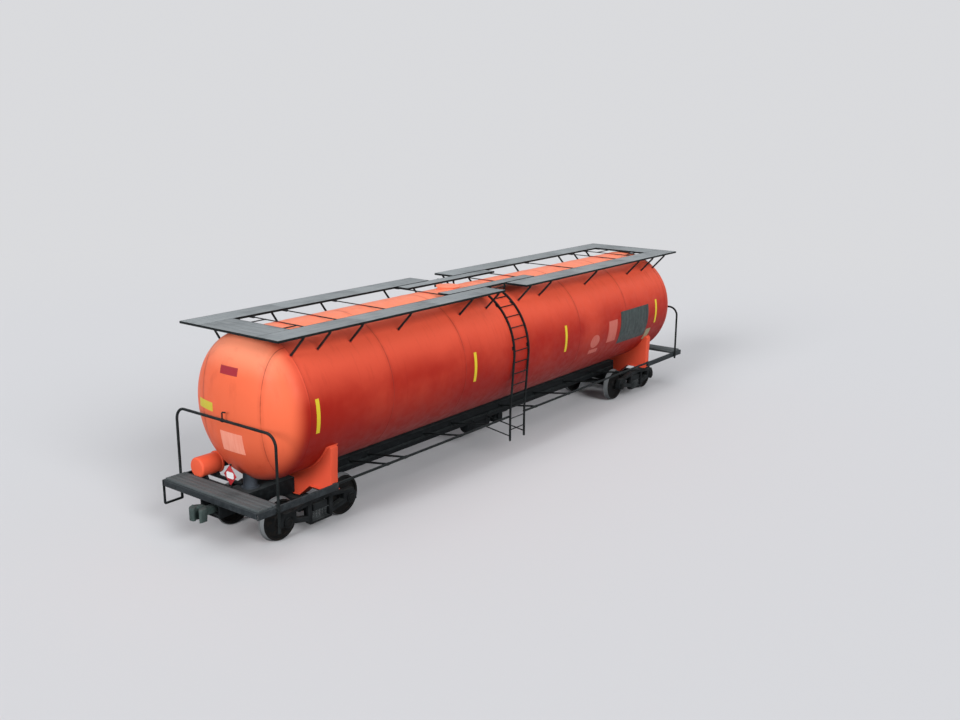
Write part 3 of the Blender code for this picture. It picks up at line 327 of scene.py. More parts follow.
@dataclass(frozen=True)
class TankPaint(Finish):
    """Satin tank paint: rain streaks, dust low down, grime in the weld seams, painted shade and light, a
    painted highlight.
    """

    name: str = "tank_paint"
    slot_name: str = "tank_orange"
    colour: Point = (0.370, 0.015, 0.0065)
    # Random fading, and the painted light on the upper half of the shell.
    faded: Point = (0.800, 0.110, 0.056)
    # Painted light on the heads, which look lighter than the sides.
    chalky: Point = (0.780, 0.142, 0.062)
    # Painted highlight on the tops of the heads and the crown of the shell.
    bleached: Point = (0.950, 0.300, 0.170)
    # Painted shade low on the sides; also the colour of the rain streaks and of the grime beside the seams.
    deep: Point = (0.265, 0.0065, 0.004)
    dust: Point = (0.220, 0.090, 0.076)
    grime: Point = (0.180, 0.022, 0.013)
    head_seam_y: float = 0.90
    seam_half: float = 0.009
    bottom_z: float = 1.18
    seams: bool = True
    # Share of the painted end light on every surface, not only on the heads.
    chalk: float = 0.0

    def build(self, g: Graph) -> bpy.types.Material:
        """Layer the paint, its painted shade, light and highlight, its streaks, the dust and the seams.

        Args:
            g: The graph to build in.

        Returns:
            The material.
        """
        plain = g.place()
        x, y, z = g.parts(plain)
        high = g.sum("SUBTRACT", z, TANK_AXIS_Z)
        along = g.sum("ABSOLUTE", x)
        broad = g.noise(plain, 0.55, 4.0)
        streaks = g.noise(g.place(stretch=(9.0, 2.2, 0.32)), 1.0, 5.0, 0.62)
        colour = g.blend(g.fade(broad, 0.36, 0.66, 0.0, 0.35), self.colour, self.faded)
        # Painted shade: below the axis the shell darkens towards the bottom.
        colour = g.blend(g.fade(high, -0.9, 0.2, 0.70, 0.0), colour, self.deep)
        # Painted light: the upper half of the shell grows lighter towards the top.
        colour = g.blend(g.fade(high, 0.1, 1.2), colour, self.faded)
        # Painted light: the heads, and a share of everything else, take the lighter colour, less of it low
        # down.
        on_end = g.fade(along, HALF_STRAIGHT + 0.02, HALF_STRAIGHT + 0.45, self.chalk, 1.0)
        chalk = g.sum("MULTIPLY", on_end, g.fade(high, -1.5, -0.3, 0.40, 1.0))
        colour = g.blend(chalk, colour, self.chalky)
        # Painted highlight: the tops of the heads and the crown of the shell pale towards white.
        highlight_share = g.sum("MULTIPLY", on_end, g.fade(high, 0.7, 1.4))
        highlight_share = g.sum("MAXIMUM", highlight_share, g.fade(high, 1.35, 1.60, 0.0, 0.75))
        colour = g.blend(highlight_share, colour, self.bleached)
        colour = g.blend(g.fade(streaks, 0.52, 0.82, 0.0, 0.26), colour, self.deep)
        drift = g.sum("ADD", z, g.sum("MULTIPLY", g.noise(g.place(stretch=(2.6, 2.6, 0.8)), 1.0, 5.0), 0.20))
        dust = g.fade(drift, self.bottom_z + 0.08, self.bottom_z + 0.52, 0.60, 0.0)
        colour = g.blend(dust, colour, self.dust)
        chips = g.fade(g.noise(plain, 26.0, 6.0, 0.7), 0.70, 0.78, 0.0, 0.35)
        colour = g.blend(chips, colour, self.grime)
        if self.seams:
            near = g.sum("PINGPONG", x, SEAM_PITCH / 2)
            near = g.sum("MINIMUM", near, g.sum("ABSOLUTE", g.sum("SUBTRACT", along, HALF_STRAIGHT)))
            across = g.sum("ABSOLUTE", g.sum("SUBTRACT", g.sum("ABSOLUTE", y), self.head_seam_y))
            on_head = g.sum("GREATER_THAN", along, HALF_STRAIGHT)
            beyond = g.sum("SUBTRACT", 1.0, on_head)
            near = g.sum("MINIMUM", g.sum("ADD", near, on_head), g.sum("ADD", across, beyond))
            line = g.fade(near, self.seam_half * 0.4, self.seam_half * 1.5, 0.72, 0.0)
            halo = g.fade(near, 0.01, 0.11, 0.20, 0.0)
            ragged = g.fade(g.noise(plain, 3.0, 4.0), 0.30, 0.62, 0.35, 1.0)
            colour = g.blend(g.sum("MULTIPLY", halo, ragged), colour, self.deep)
            colour = g.blend(g.sum("MULTIPLY", line, ragged), colour, self.grime)
        satin = g.fade(g.noise(plain, 5.0, 5.0), 0.30, 0.72, 0.40, 0.56)
        rough = g.sum("ADD", satin, g.sum("MULTIPLY", dust, 0.45))
        peel = g.sum("ADD", g.sum("MULTIPLY", g.noise(plain, 240.0, 2.0), 0.05), g.noise(plain, 1.7, 2.0))
        return g.close(colour, rough, g.relief(peel, 0.006, 0.35), specular=0.16)


@dataclass(frozen=True)
class FramePaint(Finish):
    """Near-black underframe paint with road dust on what faces up and a few rust freckles."""

    name: str = "frame_paint"
    colour: Point = (0.0050, 0.0062, 0.0070)
    worn: Point = (0.0125, 0.0150, 0.0165)
    dust: Point = (0.072, 0.083, 0.087)
    rust: Point = (0.055, 0.024, 0.014)
    dusty: float = 0.55

    def build(self, g: Graph) -> bpy.types.Material:
        """Layer the paint, the scuffs, the dust and the rust.

        Args:
            g: The graph to build in.

        Returns:
            The material.
        """
        plain = g.place()
        scuffs = g.noise(plain, 7.0, 7.0, 0.66)
        colour = g.blend(g.fade(scuffs, 0.42, 0.70), self.colour, self.worn)
        up = g.fade(g.facing_up(), 0.35, 0.98)
        settled = g.sum("MULTIPLY", up, g.fade(g.noise(plain, 3.2, 5.0), 0.25, 0.68, 0.35, 1.0))
        colour = g.blend(g.sum("MULTIPLY", settled, self.dusty), colour, self.dust)
        freckles = g.fade(g.noise(plain, 34.0, 5.0, 0.7), 0.66, 0.76, 0.0, 0.7)
        colour = g.blend(freckles, colour, self.rust)
        rough = g.sum("ADD", g.fade(scuffs, 0.30, 0.70, 0.42, 0.66), g.sum("MULTIPLY", settled, 0.25))
        return g.close(colour, rough, g.relief(g.noise(plain, 95.0, 3.0), 0.0015, 0.5), specular=0.07)


@dataclass(frozen=True)
class Casting(Finish):
    """Rough cast steel with oily dirt in its hollows and brown dust on top."""

    name: str = "truck_casting"
    slot_name: str = "cast_iron"
    colour: Point = (0.0065, 0.0076, 0.0084)
    worn: Point = (0.0165, 0.0190, 0.0205)
    dust: Point = (0.058, 0.063, 0.063)
    rust: Point = (0.050, 0.024, 0.014)
    metallic: float = 0.10

    def build(self, g: Graph) -> bpy.types.Material:
        """Layer the skin of the casting, its dust and its rust.

        Args:
            g: The graph to build in.

        Returns:
            The material.
        """
        plain = g.place()
        skin = g.noise(plain, 48.0, 6.0, 0.7)
        broad = g.noise(plain, 4.0, 5.0)
        colour = g.blend(g.fade(broad, 0.36, 0.68), self.colour, self.worn)
        colour = g.blend(g.fade(skin, 0.60, 0.80, 0.0, 0.55), colour, self.rust)
        patchy = g.fade(broad, 0.2, 0.7, 0.5, 1.0)
        settled = g.sum("MULTIPLY", g.fade(g.facing_up(), 0.4, 1.0, 0.0, 0.55), patchy)
        colour = g.blend(settled, colour, self.dust)
        pits = g.sum("ADD", skin, g.sum("MULTIPLY", g.cells(plain, 130.0), 0.4))
        rough = g.fade(skin, 0.25, 0.75, 0.48, 0.78)
        return g.close(colour, rough, g.relief(pits, 0.004, 0.6), metallic=self.metallic, specular=0.08)


@dataclass(frozen=True)
class WheelSteel(Finish):
    """Rolled wheel steel: bright on the tread, brown and dark on the plate, oily round the hub."""

    slot_name: str = "wheel_steel"
    centre: Point = (0.0, 0.0, 0.0)
    plate: Point = (0.0060, 0.0070, 0.0075)
    brown: Point = (0.0160, 0.0130, 0.0110)
    bright: Point = (0.200, 0.214, 0.222)

    def build(self, g: Graph) -> bpy.types.Material:
        """Shade by the distance from the axle's line.

        Args:
            g: The graph to build in.

        Returns:
            The material.
        """
        placed = g.place(self.centre)
        x, _, z = g.parts(placed)
        radius = g.sum("SQRT", g.sum("ADD", g.sum("MULTIPLY", x, x), g.sum("MULTIPLY", z, z)))
        dirt = g.noise(placed, 16.0, 6.0, 0.65)
        colour = g.blend(g.fade(dirt, 0.40, 0.72), self.plate, self.brown)
        colour = g.blend(g.fade(radius, 0.10, 0.20, 0.55, 0.0), colour, self.plate)
        normal = g.parts(g.node("ShaderNodeNewGeometry").outputs["Normal"])
        rolled = g.fade(g.sum("ABSOLUTE", normal[1]), 0.25, 0.75, 1.0, 0.0)
        rolled = g.sum("MULTIPLY", rolled, g.fade(radius, TREAD_RADIUS - 0.012, TREAD_RADIUS - 0.008))
        flange = g.fade(radius, TREAD_RADIUS + 0.001, TREAD_RADIUS + 0.005, 0.0, 0.75)
        rolled = g.sum("MAXIMUM", rolled, flange)
        lanes = g.noise(g.place(self.centre, (0.4, 90.0, 0.4)), 1.0, 3.0)
        bright = g.sum("MULTIPLY", rolled, g.fade(lanes, 0.2, 0.7, 0.72, 1.0))
        colour = g.blend(bright, colour, self.bright)
        rough = g.sum("SUBTRACT", 0.66, g.sum("MULTIPLY", bright, 0.28))
        return g.close(colour, rough, g.relief(dirt, 0.003, 0.45), metallic=0.05, specular=0.08)


@dataclass(frozen=True)
class Planking(Finish):
    """Weathered grey boards whose grain runs along one axis."""

    name: str = "walkway_planks"
    slot_name: str = "walkway_grey"
    colour: Point = (0.220, 0.243, 0.256)
    pale: Point = (0.300, 0.322, 0.332)
    dark: Point = (0.135, 0.152, 0.160)
    grain: Axis = Axis.ALONG

    def build(self, g: Graph) -> bpy.types.Material:
        """Draw the grain, the stains and the worn middle of each board.

        Args:
            g: The graph to build in.

        Returns:
            The material.
        """
        fine, slow = 46.0, 1.1
        stretch = tuple(slow if part else fine for part in self.grain.value)
        fibres = g.noise(g.place(stretch=stretch), 1.0, 6.0, 0.68)
        broad = g.noise(g.place(), 1.6, 5.0)
        colour = g.blend(g.fade(fibres, 0.34, 0.70), self.colour, self.pale)
        colour = g.blend(g.fade(broad, 0.48, 0.74, 0.0, 0.60), colour, self.dark)
        splits = g.fade(fibres, 0.24, 0.34, 0.75, 0.0)
        colour = g.blend(splits, colour, self.dark)
        rough = g.fade(broad, 0.3, 0.7, 0.66, 0.86)
        return g.close(colour, rough, g.relief(fibres, 0.003, 0.6), specular=0.35)


@dataclass(frozen=True)
class PlainPaint(Finish):
    """A thin coat of one colour that has weathered through in small flecks."""

    slot_name: str = "placard_red"
    colour: Point = (0.60, 0.44, 0.05)
    under: Point = (0.55, 0.09, 0.04)
    flecks: float = 0.5
    streaky: float = 0.0
    roughness: float = 0.45

    def build(self, g: Graph) -> bpy.types.Material:
        """Mix the coat with what shows through it.

        Args:
            g: The graph to build in.

        Returns:
            The material.
        """
        plain = g.place()
        worn = g.fade(g.noise(plain, 30.0, 6.0, 0.7), 0.60, 0.72, 0.0, self.flecks)
        bands = g.fade(g.noise(g.place(stretch=(14.0, 14.0, 1.0)), 1.0, 5.0), 0.38, 0.66, 0.0, self.streaky)
        colour = g.blend(g.sum("MAXIMUM", worn, bands), self.colour, self.under)
        rough = g.fade(g.noise(plain, 9.0, 4.0), 0.3, 0.7, self.roughness, self.roughness + 0.15)
        return g.close(colour, rough, g.relief(g.noise(plain, 60.0, 3.0), 0.0008, 0.4))


@dataclass(frozen=True)
class BracePaint(FramePaint):
    """Black bars whose small feet are painted over with the tank."""

    name: str = "brace_paint"
    foot: Point = (0.560, 0.060, 0.034)
    reach: float = TANK_RADIUS + 0.014

    def build(self, g: Graph) -> bpy.types.Material:
        """Paint what lies within the feet's reach of the tank's axis orange.

        Args:
            g: The graph to build in.

        Returns:
            The material.
        """
        plain = g.place()
        _, y, z = g.parts(g.place((0.0, 0.0, TANK_AXIS_Z)))
        out = g.sum("SQRT", g.sum("ADD", g.sum("MULTIPLY", y, y), g.sum("MULTIPLY", z, z)))
        black = g.blend(g.fade(g.noise(plain, 7.0, 7.0, 0.66), 0.42, 0.70), self.colour, self.worn)
        colour = g.blend(g.fade(out, self.reach, self.reach + 0.002), self.foot, black)
        return g.close(colour, 0.5, g.relief(g.noise(plain, 95.0, 3.0), 0.0015, 0.5), specular=0.25)


TANK = TankPaint()
# Fittings: painted shade low down, and a share of the painted end light on every surface.
FITTINGS = TankPaint(name="fitting_paint", colour=(0.760, 0.092, 0.044), deep=(0.640, 0.070, 0.034),
                     seams=False, bottom_z=0.20, chalk=0.30)
BLACK = FramePaint()
BOARDS = FramePaint(name="side_paint", colour=(0.022, 0.026, 0.029), worn=(0.044, 0.051, 0.056), dusty=0.35)
RAILS = FramePaint(name="rail_paint", colour=(0.0085, 0.0105, 0.0110), worn=(0.0200, 0.0240, 0.0250),
                   dusty=0.25)
HEADSTOCK = FramePaint(name="headstock_paint", colour=(0.019, 0.023, 0.026), worn=(0.038, 0.044, 0.049),
                       dusty=0.45)
SUMP = FramePaint(name="sump_paint", colour=(0.050, 0.060, 0.074), worn=(0.070, 0.080, 0.096), dusty=0.3)
BRACES = BracePaint()
CAST = Casting()
COUPLING = Casting(name="coupler_casting", colour=(0.030, 0.045, 0.043), worn=(0.070, 0.095, 0.090))
BRIGHT = Casting(name="spring_steel", colour=(0.040, 0.046, 0.048), worn=(0.100, 0.112, 0.115), metallic=0.3)
WALK = Planking()
WALK_ENDS = Planking(name="walkway_end_planks", colour=(0.198, 0.219, 0.231), pale=(0.270, 0.290, 0.299),
                     dark=(0.122, 0.137, 0.144), grain=Axis.ACROSS)
DECK = Planking(name="deck_planks", colour=(0.060, 0.071, 0.075), pale=(0.096, 0.109, 0.114),
                dark=(0.034, 0.042, 0.044), grain=Axis.ACROSS)
STRIPE = PlainPaint(name="stripe_yellow", slot_name="tank_orange", colour=(0.720, 0.560, 0.020),
                    under=(0.48, 0.26, 0.04), flecks=0.40)
YELLOW_PLATE = PlainPaint(name="plate_yellow", colour=(0.600, 0.500, 0.040), under=(0.34, 0.25, 0.03),
                          flecks=0.45)
RED_PLATE = PlainPaint(name="plate_red", colour=(0.300, 0.006, 0.018), under=(0.15, 0.006, 0.010), flecks=0.6)
HEAD_PATCH = PlainPaint(name="patch_head", colour=(0.900, 0.330, 0.230), under=(0.82, 0.200, 0.120),
                        flecks=0.5, streaky=0.40)
PALE_PATCH = PlainPaint(name="patch_pale", colour=(0.560, 0.130, 0.095), under=(0.54, 0.070, 0.045),
                        flecks=0.5, streaky=0.55)
DATA_PANEL = PlainPaint(name="panel_dark", colour=(0.012, 0.021, 0.021), under=(0.054, 0.076, 0.072),
                        flecks=0.50, streaky=0.50, roughness=0.5)
LABEL = PlainPaint(name="label_green", colour=(0.300, 0.300, 0.180), under=(0.40, 0.16, 0.08), flecks=0.35,
                   streaky=0.25)
SIGN_RED = PlainPaint(name="sign_red", colour=(0.380, 0.016, 0.022), under=(0.22, 0.02, 0.02), flecks=0.4)
SIGN_WHITE = PlainPaint(name="sign_white", colour=(0.720, 0.710, 0.720), under=(0.45, 0.42, 0.42),
                        flecks=0.35)


def around(count: int, shift: float = 0.0) -> list[float]:
    """The angles of equal steps round a full turn, shifted by a share of a step."""
    return [math.tau * (k + shift) / count for k in range(count)]


class Work:
    """One piece under construction: a bmesh, and the steps that shape it."""

    def __init__(self) -> None:
        """Start with nothing."""
        self.bm = bmesh.new()

    def block(self, low: Point, high: Point, edge: float = 0.004, steps: int = 2,
              turn: Matrix | None = None) -> "Work":
        """Add a box with rounded edges.

        Args:
            low: One corner.
            high: The opposite corner.
            edge: The width of the rounding.
            steps: Its segments.
            turn: Moves the box from its own place, if given.

        Returns:
            The work itself.
        """
        size = [abs(b - a) for a, b in zip(low, high)]
        middle = [(a + b) / 2 for a, b in zip(low, high)]
        place = Matrix.Translation(middle) @ Matrix.Diagonal((*size, 1.0))
        made = bmesh.ops.create_cube(self.bm, size=1.0, matrix=(turn or Matrix()) @ place)
        if edge:
            edges = {e for v in made["verts"] for e in v.link_edges}
            self.round_edges(edges, min(edge, min(size) * 0.45), steps)
        return self

    def round_edges(self, edges: set, width: float, steps: int = 2) -> "Work":
        """Round some edges.

        Args:
            edges: The edges.
            width: The width of the rounding.
            steps: Its segments.

        Returns:
            The work itself.
        """
        bmesh.ops.bevel(self.bm, geom=list(edges), offset=width, offset_type="OFFSET", segments=steps,
                        profile=0.5, affect="EDGES", clamp_overlap=False, material=-1)
        return self

    def slab(self, outline: list[Flat], axis: Axis, start: float, stop: float, edge: float = 0.004) -> "Work":
        """Extrude a flat outline along an axis and round its edges.

        Args:
            outline: Points (y, z) along the car, (x, z) across it and (x, y) upwards.
            axis: The direction of the extrusion.
            start: Where it starts.
            stop: Where it stops.
            edge: The width of the rounding.

        Returns:
            The work itself.
        """
        corners = [self.bm.verts.new(axis.point(start, u, v)) for u, v in outline]
        face = self.bm.faces.new(corners)
        grown = bmesh.ops.extrude_face_region(self.bm, geom=[face], use_keep_orig=True)["geom"]
        moved = [v for v in grown if isinstance(v, bmesh.types.BMVert)]
        bmesh.ops.translate(self.bm, vec=Vector(axis.value) * (stop - start), verts=moved)
        if edge:
            edges = {e for v in corners + moved for e in v.link_edges if e.calc_face_angle(0) > 0.4}
            self.round_edges(edges, edge)
        return self

    def turned(self, profile: list[Flat], axis: Axis, centre: Point, segments: int = 48,
               closed: bool = False) -> "Work":
        """Spin a profile of (along, radius) points about an axis through a centre.

        Args:
            profile: The points; a radius of 0 lies on the axis.
            axis: The axis' direction.
            centre: A point on it, from which the profile is measured.
            segments: Steps of the full turn.
            closed: Whether the last point joins the first.

        Returns:
            The work itself.
        """
        along = Vector(axis.value)
        outward = Vector((0, 0, 1)) if axis is not Axis.UP else Vector((1, 0, 0))
        points = [self.bm.verts.new(Vector(centre) + along * u + outward * r) for u, r in profile]
        pairs = list(zip(points, points[1:])) + ([(points[-1], points[0])] if closed else [])
        edges = [self.bm.edges.new(pair) for pair in pairs]
        bmesh.ops.spin(self.bm, geom=points + edges, cent=centre, axis=along, angle=math.tau, steps=segments,
                       use_merge=True, use_normal_flip=False, use_duplicate=False)
        return self

    def rod(self, axis: Axis, centre: Point, span: Flat, radius: float, segments: int = 20) -> "Work":
        """Add a plain round bar or disc.

        Args:
            axis: Its axis' direction.
            centre: A point on the axis, from which the span is measured.
            span: Where it starts and stops along the axis.
            radius: Its radius.
            segments: Its sides.

        Returns:
            The work itself.
        """
        start, stop = span
        profile = [(start, 0.0), (start, radius), (stop, radius), (stop, 0.0)]
        return self.turned(profile, axis, centre, segments)

    def ring(self, axis: Axis, centre: Point, span: Flat, radii: Flat, segments: int = 48) -> "Work":
        """Add a plain ring.

        Args:
            axis: Its axis' direction.
            centre: A point on the axis, from which the span is measured.
            span: Where it starts and stops along the axis.
            radii: Its inner and outer radius.
            segments: Its sides.

        Returns:
            The work itself.
        """
        (start, stop), (bore, rim) = span, radii
        section = [(start, bore), (start, rim), (stop, rim), (stop, bore)]
        return self.turned(section, axis, centre, segments, closed=True)

    def coat(self, put: Callable[[float, float], Vector], out: Vector, thickness: float, oval: bool = False,
             steps: int = 14) -> "Work":
        """Add a thin sheet that follows a curved face.

        Args:
            put: Gives the sheet's outer point at a place between (-1, -1) and (1, 1).
            out: Roughly the way its outer face looks.
            thickness: Its thickness.
            oval: Whether the sheet is an oval and not a rectangle.
            steps: Its faces each way.

        Returns:
            The work itself.
        """
        made = bmesh.ops.create_grid(self.bm, x_segments=steps, y_segments=steps, size=1.0)
        for v in made["verts"]:
            u, w = v.co.x, v.co.y
            if oval:
                u, w = u * math.sqrt(1 - w * w / 2), w * math.sqrt(1 - u * u / 2)
            v.co = put(u, w)
        faces = list(self.bm.faces)
        bmesh.ops.recalc_face_normals(self.bm, faces=faces)
        if sum(f.normal.dot(out) for f in faces) < 0:
            bmesh.ops.reverse_faces(self.bm, faces=faces)
        bmesh.ops.solidify(self.bm, geom=faces, thickness=thickness)
        return self

    def pipe(self, path: list[Point], radius: float, sides: int = 16) -> "Work":
        """Sweep a round bar along a path.

        Args:
            path: The points of its middle line.
            radius: The bar's radius.
            sides: How many sides the bar has.

        Returns:
            The work itself.
        """
        points = [Vector(p) for p in path]
        ways = [(b - a).normalized() for a, b in zip(points, points[1:])]
        planes = [ways[0]] + [(a + b).normalized() for a, b in zip(ways, ways[1:])] + [ways[-1]]
        turn = Vector((0, 0, 1)).rotation_difference(planes[0])
        made = bmesh.ops.create_circle(self.bm, cap_ends=False, radius=radius, segments=sides,
                                       matrix=Matrix.Translation(points[0]) @ turn.to_matrix().to_4x4())
        ring = list({e for v in made["verts"] for e in v.link_edges})
        rings = [ring]
        for i in range(1, len(points)):
            grown = bmesh.ops.extrude_edge_only(self.bm, edges=ring)["geom"]
            verts = [v for v in grown if isinstance(v, bmesh.types.BMVert)]
            new = set(verts)
            ring = [e for e in grown if isinstance(e, bmesh.types.BMEdge) and set(e.verts) <= new]
            step = planes[i - 1].rotation_difference(planes[i]).to_matrix().to_4x4()
            move = Matrix.Translation(points[i]) @ step @ Matrix.Translation(-points[i - 1])
            bmesh.ops.transform(self.bm, matrix=move, verts=verts)
            rings.append(ring)
        for loop in (rings[0], rings[-1]):
            bmesh.ops.edgeloop_fill(self.bm, edges=loop)
        return self

    def bolt(self, at: Point, way: Vector, size: float = 0.014, head: float = 0.012) -> "Work":
        """Add a hexagon bolt head that stands on a face.

        Args:
            at: Where it stands.
            way: The face's normal.
            size: The head's radius.
            head: How far it stands out.

        Returns:
            The work itself.
        """
        turn = Vector((0, 0, 1)).rotation_difference(way).to_matrix().to_4x4()
        place = Matrix.Translation(Vector(at) + way * (head / 2 - 0.001)) @ turn
        bmesh.ops.create_cone(self.bm, cap_ends=True, segments=6, radius1=size, radius2=size * 0.94,
                              depth=head + 0.002, matrix=place)
        return self

    def bolt_circle(self, axis: Axis, centre: Point, radius: float, turns: list[float], facing: int = 1,
                    size: float = 0.008, head: float = 0.008) -> "Work":
        """Add bolt heads on a circle about an axis.

        Args:
            axis: The axis' direction.
            centre: The circle's middle, on the face that carries the heads.
            radius: The circle's radius.
            turns: The heads' angles.
            facing: 1 where the heads look along the axis, -1 where they look against it.
            size: Each head's radius.
            head: How far each stands out.

        Returns:
            The work itself.
        """
        for turn in turns:
            offset = axis.point(0.0, radius * math.cos(turn), radius * math.sin(turn))
            self.bolt(tuple(a + b for a, b in zip(centre, offset)), Vector(axis.value) * facing, size, head)
        return self

    def node(self, name: str, edge: float = 0.004, steps: int = 2, sharper: float = 28.0) -> "Work":
        """Add a copy of a node with its facets joined and its edges rounded.

        Args:
            name: The node.
            edge: The width of the rounding.
            steps: Its segments.
            sharper: Edges that turn by more degrees than this are rounded.

        Returns:
            The work itself.
        """
        self.bm.from_mesh(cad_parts[name].data)
        bmesh.ops.remove_doubles(self.bm, verts=self.bm.verts, dist=0.00002)
        self.join_facets()
        return self.round_edges(self.corners(sharper), edge, steps)

    def join_facets(self) -> None:
        """Join the faces that lie in one plane."""
        bmesh.ops.dissolve_limit(self.bm, angle_limit=math.radians(0.8), verts=self.bm.verts,
                                 edges=self.bm.edges)

    def corners(self, sharper: float) -> set:
        """The edges that turn by more than some degrees."""
        return {e for e in self.bm.edges if e.is_manifold and e.calc_face_angle(0) > math.radians(sharper)}

    def keep(self, name: str, finish: Finish, body: str = "car", replaces: tuple[str, ...] = (),
             sharp: float = 40.0, recalculate: bool = True) -> bpy.types.Object:
        """Turn the work into a piece of the car.

        Args:
            name: The piece's name.
            finish: Its finish.
            body: The body it moves with.
            replaces: The nodes it stands for.
            sharp: Edges that turn by more degrees than this stay sharp.
            recalculate: Whether its faces are turned outwards.

        Returns:
            The piece.
        """
        if recalculate:
            bmesh.ops.remove_doubles(self.bm, verts=self.bm.verts, dist=0.00001)
            bmesh.ops.recalc_face_normals(self.bm, faces=self.bm.faces)
        mesh = bpy.data.meshes.new(name)
        self.bm.to_mesh(mesh)
        self.bm.free()
        mesh.materials.clear()
        mesh.materials.append(finish.material())
        mesh.shade_smooth()
        mesh.set_sharp_from_angle(angle=math.radians(sharp))
        piece = bpy.data.objects.new(name, mesh)
        bpy.context.scene.collection.objects.link(piece)
        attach(piece, body)
        if replaces:
            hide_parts(*replaces)
        LOG.info("%s: %d faces, on %s", name, len(mesh.polygons), body)
        return piece


def rounded(corners: list[Point], radius: float, steps: int = 6) -> list[Point]:
    """Round the corners of a path.

    Args:
        corners: The path's corner points.
        radius: The bend radius.
        steps: Points along each bend.

    Returns:
        The points of the rounded path.
    """
    points = [Vector(c) for c in corners]
    path = [points[0]]
    for before, corner, after in zip(points, points[1:], points[2:]):
        back, on = (before - corner).normalized(), (after - corner).normalized()
        half = back.angle(on) / 2
        reach = min(radius / math.tan(half), (before - corner).length * 0.49, (after - corner).length * 0.49)
        bend = reach * math.tan(half)
        middle = corner + (back + on).normalized() * (bend / math.sin(half))
        start = corner + back * reach - middle
        axis = start.cross(corner + on * reach - middle).normalized()
        sweep = math.pi - 2 * half
        path += [middle + Matrix.Rotation(sweep * i / steps, 3, axis) @ start for i in range(steps + 1)]
    path.append(points[-1])
    return [tuple(p) for p in path]


